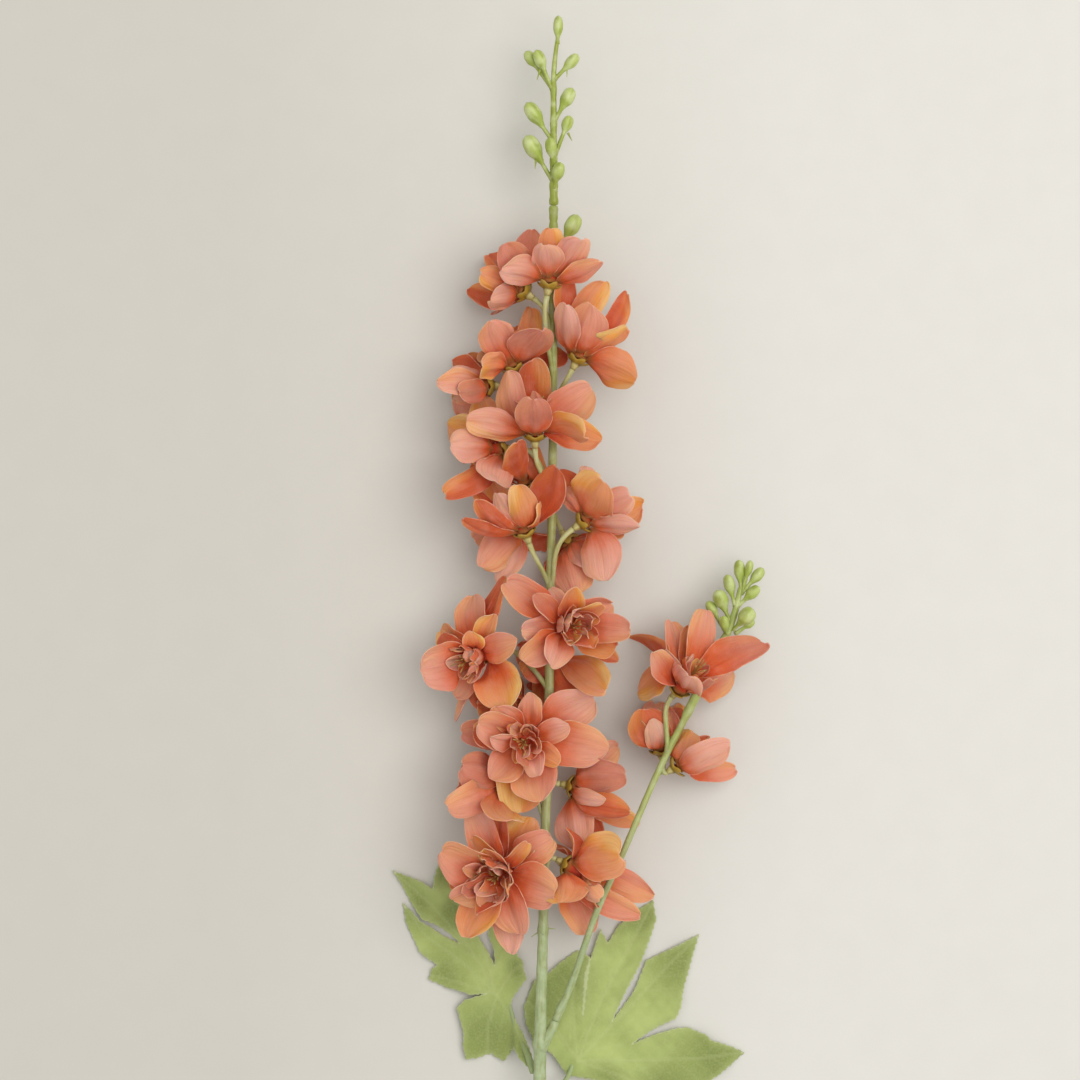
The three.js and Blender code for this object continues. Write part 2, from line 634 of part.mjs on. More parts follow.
// The turns of the loop round a level: its petals' ends, and more where they leave much wall between.
function loopTurns(petals) {
  const ends = petals.flatMap((petal) => petal.ends).sort((a, b) => a - b);
  return ends.flatMap((turn, k) => {
    const stretch = THREE.MathUtils.euclideanModulo(ends[(k + 1) % ends.length] - turn, 360);
    const parts = Math.ceil(stretch / WALL_TURN);
    return Array.from({ length: parts }, (_, j) =>
      THREE.MathUtils.euclideanModulo(turn + (stretch * j) / parts, 360));
  });
}

// A loop of points round a floret's collar.
function loopRound(floret, turns, radius, height) {
  return [...turns].sort((a, b) => a - b)
    .map((turn) => ({ turn, point: collarPoint(floret, turn, radius, height) }));
}

// The triangles of the band between a loop and the next one up.
function band(lower, upper) {
  const faces = [];
  const turnOf = (loop, k) => loop[k % loop.length].turn + 360 * Math.floor(k / loop.length);
  const idOf = (loop, k) => loop[k % loop.length].id;
  let i = 0;
  let j = upper.findIndex((spot) => spot.turn >= lower[0].turn);
  if (j < 0) j = upper.length;
  const ends = [i + lower.length, j + upper.length];
  while (i < ends[0] || j < ends[1]) {
    if (j >= ends[1] || (i < ends[0] && turnOf(lower, i + 1) <= turnOf(upper, j + 1))) {
      faces.push([idOf(lower, i), idOf(lower, i + 1), idOf(upper, j)]);
      i += 1;
    } else {
      faces.push([idOf(lower, i), idOf(upper, j + 1), idOf(upper, j)]);
      j += 1;
    }
  }
  return faces;
}

// A floret's petals on their collar, in one closed surface: each petal grows out of its own stretch of
// the collar's wall, and the pin's bore goes through.
function bloom(floret, petals) {
  const points = [];
  const faces = [];
  const keep = (loop) => loop.map((spot) => ({ ...spot, id: points.push(spot.point) - 1 }));
  const bore = [0, 60, 120, 180, 240, 300];
  const bottom = keep(loopRound(floret, bore, BORE_RADIUS, 0));
  let last = bottom;
  for (let level = 0; level < LEVELS; level += 1) {
    const here = petals.filter((petal) => petal.level === level);
    if (!here.length) continue;
    const height = levelHeight(level);
    const turns = loopTurns(here);
    const low = keep(loopRound(floret, turns, collarRadius(height), height - ROOT_THICKNESS / 2));
    const high = keep(loopRound(floret, turns, collarRadius(height), height + ROOT_THICKNESS / 2));
    faces.push(...band(last, low));
    const isRoot = new Set();
    for (const petal of here) {
      const k = low.findIndex((spot) => Math.abs(spot.turn - petal.ends[0]) < 1e-6);
      const next = (k + 1) % low.length;
      isRoot.add(k);
      const made = shell(petal.settled, PETAL_THICKNESS);
      const number = (root, face) => [
        ...root, ...face.slice(made.rootCount).map((point) => points.push(point) - 1)];
      const under = number([low[k].id, low[next].id], made.under);
      const over = number([high[k].id, high[next].id], made.over);
      faces.push(...shellFaces(made, under, over, true));
    }
    low.forEach((spot, k) => {
      if (isRoot.has(k)) return;
      const next = (k + 1) % low.length;
      faces.push([spot.id, low[next].id, high[next].id], [spot.id, high[next].id, high[k].id]);
    });
    last = high;
  }
  const top = keep(loopRound(floret, bore, BORE_RADIUS, COLLAR_HEIGHT));
  faces.push(...band(last, top), ...band(top, bottom));
  return geometryOf(points, faces);
}

// Calyx, pin and stamens of a floret in one: the calyx under the collar, the pin through it, and on the
// pin's top a thread grown from each of its triangles.
function heart(floret) {
  const pinTop = COLLAR_HEIGHT + 1.5;
  const profile = [
    [0, -CALYX_HEIGHT - CLEARANCE], [PEDICEL_RADIUS + 0.2, -CALYX_HEIGHT - CLEARANCE],
    [CALYX_RADIUS, -1.4 - CLEARANCE], [PIN_RADIUS, -CLEARANCE], [PIN_RADIUS, pinTop], [0, pinTop],
  ];
  const body = lathed(profile, 6, floret.at3, floret.axis);
  const points = Array.from({ length: body.attributes.position.count }, (_, k) =>
    vector().fromBufferAttribute(body.attributes.position, k));
  const top = floret.at3.clone().addScaledVector(floret.axis, pinTop);
  const centre = points.findIndex((point) => point.distanceTo(top) < 1e-3);
  const faces = [];
  for (let k = 0; k < body.index.count; k += 3) faces.push(Array.from(body.index.array.slice(k, k + 3)));
  const grown = faces.flatMap((face, k) => {
    if (!face.includes(centre)) return [face];
    const foot = face.reduce((sum, corner) => sum.addScaledVector(points[corner], 1 / 3), vector());
    const lean = foot.clone().sub(top).normalize().multiplyScalar(0.2 + 0.3 * pick(floret.number, k));
    points.push(foot.addScaledVector(floret.axis.clone().add(lean), STAMEN_LENGTH));
    const tip = points.length - 1;
    return face.map((corner, j) => [corner, face[(j + 1) % 3], tip]);
  });
  const geometry = new THREE.BufferGeometry().setFromPoints(points);
  geometry.setIndex(grown.flat());
  return geometry;
}

// ---------------------------------------------------------------- stems

const MAIN_PATH = [
  [553.6, 206, 0], [553, 300, 0], [553, 420, 0], [551.7, 523, 0], [550, 610, 0], [548.5, 740, 0],
  [545, 840, 0], [542.8, 938, -1], [540.6, 1020, -4], [539.5, 1100, -9.5], [538, 1220, -17],
  [536, 1375, -23.6],
];
const MAIN_RADII = [
  [0, 1.7], [0.12, 1.9], [0.3, 2.0], [0.5, 2.1], [0.64, 2.3], [0.75, 2.8], [0.84, 3.1], [1, 3.3],
];
const BRANCH_PATH = [
  [555.5, 1020, -5], [571, 985, -4], [597, 911, 5], [623, 853, 10], [640, 813, 8], [658, 772, 3],
  [684, 720, 3], [703.5, 680, 6],
];
const BRANCH_RADII = [[0, 1.7], [0.3, 1.5], [0.6, 1.45], [0.86, 1.6], [0.9, 2.2], [1, 2.0]];

const curveOf = (path) =>
  new THREE.CatmullRomCurve3(path.map((spot) => place(...spot)), false, "centripetal");
const mainCurve = curveOf(MAIN_PATH);
const branchCurve = curveOf(BRANCH_PATH);

// The point of a curve at a row of the sheet.
function atRow(curve, row) {
  const target = (SHEET_MIDDLE - row) * SQUARE;
  const points = curve.getPoints(400);
  return points.reduce((best, p) => (Math.abs(p.y - target) < Math.abs(best.y - target) ? p : best));
}

// The stalk of a floret: it leaves the stem up along it, and ends under the calyx in the floret's line.
function pedicel(floret) {
  const curve = floret.branch ? branchCurve : mainCurve;
  const foot = atRow(curve, floret.foot);
  const end = floret.at3.clone().addScaledVector(floret.axis, -CALYX_HEIGHT - 2 * CLEARANCE);
  const span = foot.distanceTo(end);
  const leaning = mix(end.clone().sub(foot), vector(0, span, 0), 0.35);
  const turnedUp = foot.clone().addScaledVector(leaning, 0.45);
  const under = end.clone().addScaledVector(floret.axis, -0.4 * span);
  return stalk(
    new THREE.CubicBezierCurve3(foot, turnedUp, under, end),
    [[0, PEDICEL_RADIUS], [0.3, PEDICEL_RADIUS * 0.9], [0.7, PEDICEL_RADIUS * 0.9], [1, PEDICEL_RADIUS]],
    4,
  );
}

// A closed bud on its short stalk. from and to are places on the sheet, to is the bud's middle.
function bud(from, to, length, width) {
  const start = place(...from);
  const way = place(...to).sub(start);
  const middle = way.length();
  const profile = [
    [0, 0], [1.1, 0], [0.9, middle - 0.5 * length], [0.4 * width, middle - 0.16 * length],
    [0.5 * width, middle + 0.2 * length], [0.3 * width, middle + 0.45 * length],
    [0, middle + 0.5 * length],
  ];
  return lathed(profile, 5, start, way.normalize());
}

// Buds of the main tip: [stalk foot, bud middle, length, width].
const MAIN_TIP_BUDS = [
  [[557.5, 44, 0], [558, 27, 0], 10, 4.3],
  [[553, 92, 0], [540, 60, 2], 9.5, 5.2],
  [[553, 90, 0], [531, 59, -3], 8.5, 5],
  [[554, 80, 0], [571, 62, 0], 9, 5],
  [[554, 122, 0], [567, 98, 1], 10, 6],
  [[553, 142, 0], [534, 114, 0], 12, 6.6],
  [[554, 158, 0], [567, 124, -3], 8, 5],
  [[553, 182, 0], [533, 148, 1], 12.5, 7.4],
  [[554, 166, 1], [551, 148, 4], 9.5, 5],
  [[554, 188, 1], [558, 172, 4], 9, 5.4],
];
const BRANCH_TIP_BUDS = [
  [[741, 590, -8], [739.5, 571, -8], 10, 5],
  [[742, 592, -8], [748.5, 569, -6], 8, 3.6],
  [[741, 594, -8], [757, 575.5, -8], 8.5, 5],
  [[735, 606, -8], [729.5, 585, -7], 9.5, 5],
  [[738, 606, -8], [752, 593, -7], 8.5, 5],
  [[730, 622, -8], [721, 600, -7], 9.5, 6.6],
  [[733, 630, -8], [746, 616.5, -4], 9.5, 7.2],
  [[728, 636, -8], [712, 609, -9], 8, 4.6],
  [[728, 640, -8], [724.5, 624, -4], 8, 4.4],
  [[735, 634, -9], [749, 624, -11], 6, 3.6],
];
const SIDE_BUD = [[553, 262, 0], [572, 226, 2], 11, 7];

function budTip(path, radii, buds) {
  const curve = curveOf(path);
  return [stalk(curve, radii, 6), ...buds.map((places) => bud(...places))];
}

// ---------------------------------------------------------------- leaves

// A leaf: its cut outline on the sheet, its heart where the veins meet, its stalk's places, and the flap
// along the stalk that rises with it to the stem.
const LEAVES = [
  {
    node: "leaf_left",
    heart: [497, 992], heartHeight: 9, flap: { start: [511, 1010], end: [536, 1064], rise: 12 },
    outline: [
      [511, 1010], [523, 1031], [531, 1049], [536, 1064], [528, 1062], [520, 1055], [514, 1045],
      [511, 1051], [504, 1060], [497, 1057], [491, 1053], [478, 1057], [466, 1058], [463, 1045],
      [464, 1033], [460, 1018], [457, 1007], [464, 999], [474, 995.5], [487, 991], [471, 993.5],
      [459, 989.5], [447, 987], [429, 979], [431, 970], [437, 964], [420, 952], [410, 931], [406, 922],
      [403, 903], [412, 911], [421, 921], [431, 926.5], [445, 936], [460, 943], [448, 932], [438, 925],
      [422, 918.5], [411, 902], [400, 881], [392.5, 870], [408, 876], [421, 881], [433, 888], [434, 878],
      [440, 859], [451, 872], [457, 897], [466, 914], [478, 935], [488, 951], [495, 964], [494, 949],
      [489, 937], [488, 925], [500, 929], [507, 947], [515, 951], [523, 961], [524, 970], [527, 977],
      [519, 987.5], [512, 997],
    ],
    stalk: [[508, 1008, 0], [518, 1034, -22], [526, 1052, -17], [533, 1072, -10.5]],
  },
  {
    node: "leaf_right",
    heart: [577, 1058], heartHeight: 8, flap: { start: [577, 1058], end: [577, 1096], rise: 0 },
    outline: [
      [567, 1073], [552, 1052], [540, 1046], [533, 1038], [526, 1024], [524, 1006], [534, 980],
      [546, 974], [560, 962], [577, 950], [590, 956], [586, 985], [583, 1014], [585, 974], [600, 928],
      [608, 942], [618, 925], [638, 909], [653, 900], [656, 919], [652, 932], [640, 964], [626, 990],
      [612, 1021], [634, 990], [646, 960], [660, 953], [679, 944], [699, 934], [693, 953], [688, 972],
      [683, 989], [681, 1005], [676, 1017], [654, 1028], [632, 1043], [656, 1033], [676, 1027],
      [688, 1027], [706, 1034], [710, 1039], [731, 1046], [744, 1052], [732, 1063], [718, 1074],
      [704, 1084], [684, 1092], [662, 1096], [640, 1094], [616, 1088], [594, 1078],
    ],
    stalk: [[577, 1058, 0], [568, 1076, -19], [556, 1092, -15], [546, 1101, -12]],
  },
];

// Height of a leaf's middle over the surface: highest at its heart and along its flap, the outer lobes
// lie flat.
function leafHeight(point, leaf) {
  const heart = place(...leaf.heart, -AXIS_HEIGHT);
  const way = Math.hypot(point.x - heart.x, point.y - heart.y);
  const start = place(...leaf.flap.start, -AXIS_HEIGHT);
  const end = place(...leaf.flap.end, -AXIS_HEIGHT);
  const share = THREE.MathUtils.clamp((start.y - point.y) / (start.y - end.y), 0, 1);
  const onFlap = THREE.MathUtils.clamp((point.x - start.x) / FLAP_FOLD, 0, 1);
  return BED + leaf.heartHeight * Math.max(0, 1 - way / 30) ** 1.6 + leaf.flap.rise * share * onFlap;
}

function leafPieces(leaf) {
  const level = -AXIS_HEIGHT;
  const corners = leaf.outline.map(([column, row]) => place(column, row, level));
  const shape = new THREE.Shape(corners.map((p) => new THREE.Vector2(p.x, p.y)));
  const flat = new THREE.ExtrudeGeometry(shape, { depth: LEAF_THICKNESS, bevelEnabled: false });
  const sheet = mergeVertices(bare(flat), 1e-4);
  const spots = sheet.attributes.position;
  for (let k = 0; k < spots.count; k += 1) {
    const point = vector().fromBufferAttribute(spots, k);
    const lift = leafHeight(point, leaf) - LEAF_THICKNESS / 2;
    spots.setZ(k, point.z + lift);
  }
  const route = leaf.stalk.map((spot) => place(...spot));
  route[0].z = leafHeight(route[0], leaf);
  const petiole = stalk(new THREE.CatmullRomCurve3(route), [[0, 0.9], [0.33, 1.1], [0.66, 1.3], [1, 1.6]], 6);
  return [sheet, petiole];
}

// ---------------------------------------------------------------- the whole spray

const spray = new THREE.Group();

function addMesh(name, geometry, material) {
  const mesh = new THREE.Mesh(geometry, material);
  mesh.name = name;
  spray.add(mesh);
}

function addFixed(name, pieces, material) {
  for (const piece of pieces) addObstacle(name, partsOf(piece));
  addMesh(name, pieces.length > 1 ? joined(pieces) : pieces[0], material);
}

const mainFlorets = florets.filter((floret) => !floret.branch);
const branchFlorets = florets.filter((floret) => floret.branch);
const socket = stalk(
  new THREE.LineCurve3(atRow(mainCurve, 1046), place(555.2, 1021.5, -4.95)), [[0, 2.2], [1, 2.2]], 8);
addFixed("main_stem", [
  stalk(mainCurve, MAIN_RADII, 8), socket, bud(...SIDE_BUD), ...mainFlorets.map(pedicel),
], STEM_GREEN);
addFixed("branch_stem", [stalk(branchCurve, BRANCH_RADII, 6), ...branchFlorets.map(pedicel)], STEM_GREEN);
addFixed("bud_tip_main", budTip(
  [[553.8, 204.6, 0], [553.6, 160, 0], [553.6, 112, 0], [554, 70, 0], [557.5, 38, 0]],
  [[0, 1.8], [0.3, 1.6], [0.6, 1.3], [1, 0.9]], MAIN_TIP_BUDS,
), BUD_GREEN);
addFixed("bud_tip_branch", budTip(
  [[704.7, 677.6, 6], [709, 669, 4.5], [717, 654, -3], [727, 634, -8], [735, 612, -8], [740.5, 588, -8]],
  [[0, 1.9], [0.4, 2.0], [0.7, 1.7], [1, 1.2]], BRANCH_TIP_BUDS,
), BUD_GREEN);
for (const leaf of LEAVES) addFixed(leaf.node, leafPieces(leaf), LEAF_GREEN);
for (const floret of florets) addFixed(`heart_${floret.name}`, [heart(floret)], OCHRE);
for (const floret of florets) addObstacle(`bloom_${floret.name}`, partsOf(bloom(floret, [])), true);
for (const floret of florets) floret.grown = petalsOf(floret);

// The petals that are seen settle first, the widest of each floret before its slim ones.
const widestFirst = (petals) => petals.sort((a, b) => b.width - a.width);
for (const isSeen of [true, false])
  for (const floret of florets)
    for (const petal of widestFirst(floret.grown.filter((one) => one.isShown === isSeen))) {
      const owner = `bloom_${floret.name}`;
      petal.settled = settledPetal(owner, petal);
      if (petal.settled) addObstacle(owner, blade(petal.settled, PETAL_THICKNESS));
    }
for (const floret of florets)
  addMesh(`bloom_${floret.name}`, bloom(floret, floret.grown.filter((petal) => petal.settled)), SALMON);

// The origin goes under the middle of the spray, on the surface.
const box = new THREE.Box3().setFromObject(spray);
const middle = box.getCenter(vector());
spray.position.set(-middle.x, -middle.y, -box.min.z);

export default spray;
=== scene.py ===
"""A cut stem of double delphinium in silk and moulded plastic, lying on a pale studio floor.

Sizes are in millimetres, and meshes are made in metres. Places are read off the maker's lay-out sheet:
column counts to the right and row counts down, in squares of SQUARE mm, and lift is the height over the
spike's axis.
"""

import logging
import math
from dataclasses import dataclass, field, replace
from enum import Enum
from itertools import product

import bpy
import numpy as np
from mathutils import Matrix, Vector
from mathutils.geometry import delaunay_2d_cdt
from mathutils.kdtree import KDTree


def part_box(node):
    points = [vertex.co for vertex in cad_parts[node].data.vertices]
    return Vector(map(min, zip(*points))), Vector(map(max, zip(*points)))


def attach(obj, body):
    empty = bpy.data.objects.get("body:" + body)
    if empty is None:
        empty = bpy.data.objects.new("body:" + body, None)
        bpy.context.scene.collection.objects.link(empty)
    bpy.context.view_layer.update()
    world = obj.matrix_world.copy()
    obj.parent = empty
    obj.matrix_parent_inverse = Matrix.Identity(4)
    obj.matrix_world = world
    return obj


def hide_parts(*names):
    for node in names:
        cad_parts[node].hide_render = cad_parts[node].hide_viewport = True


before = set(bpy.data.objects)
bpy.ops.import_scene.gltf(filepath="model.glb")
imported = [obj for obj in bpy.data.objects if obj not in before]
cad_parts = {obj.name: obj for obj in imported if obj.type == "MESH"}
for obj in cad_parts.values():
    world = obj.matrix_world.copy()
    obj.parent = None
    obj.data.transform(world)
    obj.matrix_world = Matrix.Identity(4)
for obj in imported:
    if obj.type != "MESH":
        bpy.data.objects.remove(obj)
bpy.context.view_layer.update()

log = logging.getLogger("delphinium")
Array = np.ndarray
Colour = tuple[float, float, float]
Span = tuple[float, float]

# ------------------------------------------------------------------ the lay-out sheet

SQUARE = 0.455
SHEET_MIDDLE = 540.0
SIGHT = 1365.0  # from the camera to the spike's axis
AXIS_HEIGHT = 27.0  # of the spike's axis over the floor
MM = 0.001
FRAME_WIDTH = 1080  # squares across the camera's view
SENSOR = 36.0  # width of the camera's sensor
LEAF_CORNER = (744, 1052)  # the right leaf's far corner, by which the sheet is found in the frame
LEAF_FOOT = (662, 1096)  # its lowest corner

# ------------------------------------------------------------------ the maker's sizes, as in the solids

PETAL_THICKNESS = 0.8  # of the solid petals
BED = PETAL_THICKNESS / 2
BED_SOFTNESS = 6.0
COLLAR_HEIGHT = 9.6
COLLAR_RADIUS = 4.2
COLLAR_TAPER = 0.16
LEVELS = 8  # rings of petal roots on the collar
FIRST_LEVEL = 0.9
LEVEL_STEP = 1.14
ROOT_TURN = 18.0  # half of the turn that a petal's root takes up on the collar, in degrees
NEIGHBOUR_TURN = 54.0  # petals nearer than this turn stand on different levels
FULLNESS = 1.12  # a petal's width, for each mm that is seen of it
FACE_TURN = 0.8  # how much petals of lying florets face up
KNEE_OUT = 0.34  # how far out a petal's spine bends, as a share of its length
KNEE_IN = 0.035  # how much less for each level
KNEE_UP = 0.08  # how far up the spine bends, as a share of its length
KNEE_RISE = 0.05  # how much more for each level
TURN_PLAY = 16.0  # how unevenly petals that are set by rule stand, in degrees
LEAN_PLAY = 14.0  # how unevenly they open, in degrees
CALYX_HEIGHT = 5.0
CALYX_RADIUS = 4.2
CLEARANCE = 0.35  # gap between parts that are plugged together
PEDICEL_RADIUS = 1.3
CLOTH = 0.34  # thickness of the petals shown


def unit(vector: Array) -> Array:
    """Scale vectors to length one along their last axis."""
    return vector / np.maximum(np.linalg.norm(vector, axis=-1, keepdims=True), 1e-12)


def place(column: float, row: float, lift: float = 0.0) -> Array:
    """Give a place of the lay-out sheet in mm.

    Args:
        column: squares to the right.
        row: squares down.
        lift: height over the level of the spike's axis.

    Returns:
        The point, counted from the sheet's middle.
    """
    scale = SQUARE * (1 - lift / SIGHT)
    return np.array([(column - SHEET_MIDDLE) * scale, (SHEET_MIDDLE - row) * scale, AXIS_HEIGHT + lift])


def direction(turn: float, rise: float) -> Array:
    """Give a direction from its turn in the sheet and its rise out of it, in degrees."""
    turn, rise = math.radians(turn), math.radians(rise)
    return np.array([math.cos(rise) * math.cos(turn), math.cos(rise) * math.sin(turn), math.sin(rise)])


def rotated(vector: Array, axis: Array, degrees: float | Array) -> Array:
    """Turn vectors round an axis.

    Args:
        vector: one vector or rows of them.
        axis: the unit axis, or one for each row.
        degrees: the angle, or one for each row.

    Returns:
        The turned vectors.
    """
    angle = np.radians(np.asarray(degrees, float))[..., None]
    along = np.sum(vector * axis, axis=-1, keepdims=True)
    turned = vector * np.cos(angle) + np.cross(axis, vector) * np.sin(angle)
    return turned + axis * along * (1 - np.cos(angle))


def pick(i: float, k: float) -> float:
    """Give the same number from 0 to 1 for the same pair, for small natural differences."""
    wave = math.sin(i * 12.9898 + k * 78.233) * 43758.5453  # the usual numbers of a sine hash
    return wave - math.floor(wave)


def smooth(low: float, high: float, value: Array | float) -> Array:
    """Rise softly from 0 at low to 1 at high."""
    t = np.clip((np.asarray(value, float) - low) / (high - low), 0, 1)
    return t * t * (3 - 2 * t)


def mixed(first: Array | Colour, second: Array | Colour, share: Array | float) -> Array:
    """Mix two colours, or rows of them, by a share or a column of shares."""
    share = np.asarray(share, float)[..., None]
    return np.asarray(first, float) * (1 - share) + np.asarray(second, float) * share


def bedded(points: Array) -> Array:
    """Ease soft points that come near the floor, so that none is below it.

    Args:
        points: rows of points in mm.

    Returns:
        The points, with their heights eased.
    """
    made = points.copy()
    over = made[..., 2] - BED - BED_SOFTNESS
    eased = BED + BED_SOFTNESS * np.exp(np.minimum(over, 0) / BED_SOFTNESS)
    made[..., 2] = np.where(over < 0, eased, made[..., 2])
    return made


def sheet_offset() -> Array:
    """Find where the sheet's middle is in the frame, from the right leaf's corners.

    Returns:
        The place of the sheet's middle in mm.
    """
    low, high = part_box("leaf_right")
    corner = place(*LEAF_CORNER, -AXIS_HEIGHT)
    foot = place(*LEAF_FOOT, -AXIS_HEIGHT)
    return np.array([high[0] / MM - corner[0], low[1] / MM - foot[1], 0.0])


OFFSET = sheet_offset()

# ------------------------------------------------------------------ meshes


@dataclass
class Piece:
    """Points, faces and named values of one piece, gathered from its parts.

    Attributes:
        name: the object's name.
    """

    name: str
    points: list[Array] = field(default_factory=list)
    faces: list[list[int]] = field(default_factory=list)
    values: dict[str, list[Array]] = field(default_factory=dict)
    count: int = 0

    def add(self, points: Array, faces: list[list[int]], **values: Array) -> None:
        """Add a part.

        Args:
            points: its points in mm, counted from the sheet's middle.
            faces: its faces, counted from its own first point.
            values: a number or a colour for each point, by name.
        """
        self.faces.extend([[k + self.count for k in face] for face in faces])
        self.points.append(points)
        self.count += len(points)
        for name, value in values.items():
            self.values.setdefault(name, []).append(np.asarray(value, float))

    def finish(self, nodes: list[str], material: bpy.types.Material) -> bpy.types.Object:
        """Make the object, dress it and hang it on the frame.

        Args:
            nodes: the solids that it stands for.
            material: what it is made of.

        Returns:
            The new object.
        """
        mesh = bpy.data.meshes.new(self.name)
        points = (np.concatenate(self.points) + OFFSET) * MM
        mesh.from_pydata(points.tolist(), [], self.faces)
        for name, parts in self.values.items():
            rows = np.concatenate(parts)
            kind = "FLOAT" if rows.ndim == 1 else "FLOAT_COLOR"
            layer = mesh.attributes.new(name, kind, "POINT")
            if rows.ndim == 1:
                layer.data.foreach_set("value", rows.astype(np.float32))
            else:
                full = np.concatenate([rows, np.ones((len(rows), 1))], axis=1)
                layer.data.foreach_set("color", full.astype(np.float32).ravel())
        mesh.polygons.foreach_set("use_smooth", np.ones(len(mesh.polygons), bool))
        mesh.validate()
        mesh.update()
        mesh.materials.append(material)
        made = bpy.data.objects.new(self.name, mesh)
        bpy.context.scene.collection.objects.link(made)
        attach(made, "root")
        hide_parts(*nodes)
        log.info("%s: %d faces", self.name, len(mesh.polygons))
        return made


def grid_faces(rows: int, columns: int, closed: bool = False) -> list[list[int]]:
    """List the quads of a grid of points.

    Args:
        rows: rows of points.
        columns: points in each row.
        closed: whether each row is a ring.

    Returns:
        The quads.
    """
    faces = []
    for i in range(rows - 1):
        for j in range(columns if closed else columns - 1):
            a, b = i * columns + j, i * columns + (j + 1) % columns
            faces.append([a, b, b + columns, a + columns])
    return faces


# ------------------------------------------------------------------ materials

UNEVEN: Span = (0.2, 0.8)  # the noise at which a roughness is at its two ends
THREAD_DISTORTION = 0.6  # how unevenly woven threads lie
THREAD_DETAIL = 1.0


class Graph:
    """A material's node tree, built by short calls."""

    def __init__(self, name: str) -> None:
        """Start a material with its shader."""
        self.material = bpy.data.materials.new(name)
        self.material.use_nodes = True
        self.tree = self.material.node_tree
        self.shader = self.tree.nodes["Principled BSDF"]

    def node(self, kind: str, **settings: object) -> bpy.types.Node:
        """Add a node.

        Args:
            kind: its type.
            settings: its properties, by name.

        Returns:
            The node.
        """
        made = self.tree.nodes.new(kind)
        for name, value in settings.items():
            setattr(made, name, value)
        return made

    def link(self, output: bpy.types.NodeSocket, target: bpy.types.NodeSocket) -> None:
        """Join an output to an input."""
        self.tree.links.new(output, target)

    def feed(self, target: bpy.types.NodeSocket, value: object) -> None:
        """Set an input to a value, or join it to an output.

        Args:
            target: the input.
            value: a plain value, or another node's output.
        """
        if isinstance(value, bpy.types.NodeSocket):
            self.link(value, target)
        else:
            target.default_value = value

    def set(self, name: str, value: object) -> None:
        """Set or join one of the shader's own inputs."""
        self.feed(self.shader.inputs[name], value)

    def value(self, name: str) -> bpy.types.NodeSocket:
        """Read one of the mesh's named values."""
        return self.node("ShaderNodeAttribute", attribute_name=name).outputs["Fac"]

    def dye(self, name: str) -> bpy.types.NodeSocket:
        """Read one of the mesh's named colours."""
        return self.node("ShaderNodeAttribute", attribute_name=name).outputs["Color"]

    def math(self, operation: str, first: object, second: object = 0.0) -> bpy.types.NodeSocket:
        """Work out one number.

        Args:
            operation: Blender's name of it.
            first, second: numbers or outputs.

        Returns:
            The answer's output.
        """
        made = self.node("ShaderNodeMath", operation=operation)
        self.feed(made.inputs[0], first)
        self.feed(made.inputs[1], second)
        return made.outputs[0]

    def noise(self, vector: object, scale: float, detail: float = 3.0) -> bpy.types.NodeSocket:
        """Read a noise from 0 to 1.

        Args:
            vector: the place to read it at.
            scale: how fine it is.
            detail: how many finer layers it has.

        Returns:
            The noise's output.
        """
        made = self.node("ShaderNodeTexNoise")
        made.inputs["Scale"].default_value = scale
        made.inputs["Detail"].default_value = detail
        self.link(vector, made.inputs["Vector"])
        return made.outputs["Fac"]

    def wave(self, vector: object, scale: float, bands: str) -> bpy.types.NodeSocket:
        """Read threads across one axis, from 0 to 1.

        Args:
            vector: the place to read them at.
            scale: how close they lie.
            bands: the axis that they follow one another along, X or Y.

        Returns:
            The threads' output.
        """
        made = self.node("ShaderNodeTexWave", bands_direction=bands)
        made.inputs["Scale"].default_value = scale
        made.inputs["Distortion"].default_value = THREAD_DISTORTION
        made.inputs["Detail"].default_value = THREAD_DETAIL
        self.link(vector, made.inputs["Vector"])
        return made.outputs["Fac"]

    def weave(self, flat: object, thread: float) -> bpy.types.NodeSocket:
        """Read a weave of two sets of threads, from 0 to 1, for threads of a width in mm."""
        scale = 0.5 / thread
        return self.math("MULTIPLY", self.wave(flat, scale, "X"), self.wave(flat, scale, "Y"))

    def ranged(self, value: object, source: Span, target: Span) -> bpy.types.NodeSocket:
        """Carry a number from one range to another.

        Args:
            value: the number or output.
            source: the two ends of its own range.
            target: what they become.

        Returns:
            The carried number's output.
        """
        made = self.node("ShaderNodeMapRange")
        self.feed(made.inputs["Value"], value)
        for name, number in zip(("From Min", "From Max", "To Min", "To Max"), (*source, *target)):
            made.inputs[name].default_value = number
        return made.outputs["Result"]

    def mix(self, share: object, first: object, second: object) -> bpy.types.NodeSocket:
        """Mix two colours.

        Args:
            share: how much of the second shows, from 0 to 1.
            first, second: colours or outputs.

        Returns:
            The mixed colour's output.
        """
        made = self.node("ShaderNodeMix", data_type="RGBA")
        self.feed(made.inputs[0], share)
        for socket, colour in ((made.inputs[6], first), (made.inputs[7], second)):
            self.feed(socket, (*colour, 1.0) if isinstance(colour, tuple) else colour)
        return made.outputs[2]

    def vector(self, x: object, y: object, z: object = 0.0) -> bpy.types.NodeSocket:
        """Join three numbers in a vector.

        Args:
            x, y, z: numbers or outputs.

        Returns:
            The vector's output.
        """
        made = self.node("ShaderNodeCombineXYZ")
        for socket, value in zip(made.inputs, (x, y, z)):
            self.feed(socket, value)
        return made.outputs[0]

    def position(self) -> bpy.types.NodeSocket:
        """Read the point of the piece in metres."""
        return self.node("ShaderNodeTexCoord").outputs["Object"]

    def sideways(self) -> bpy.types.NodeSocket:
        """Read how far to the right a point of the piece is.

        Returns:
            The output of that number of metres.
        """
        made = self.node("ShaderNodeSeparateXYZ")
        self.link(self.position(), made.inputs[0])
        return made.outputs["X"]

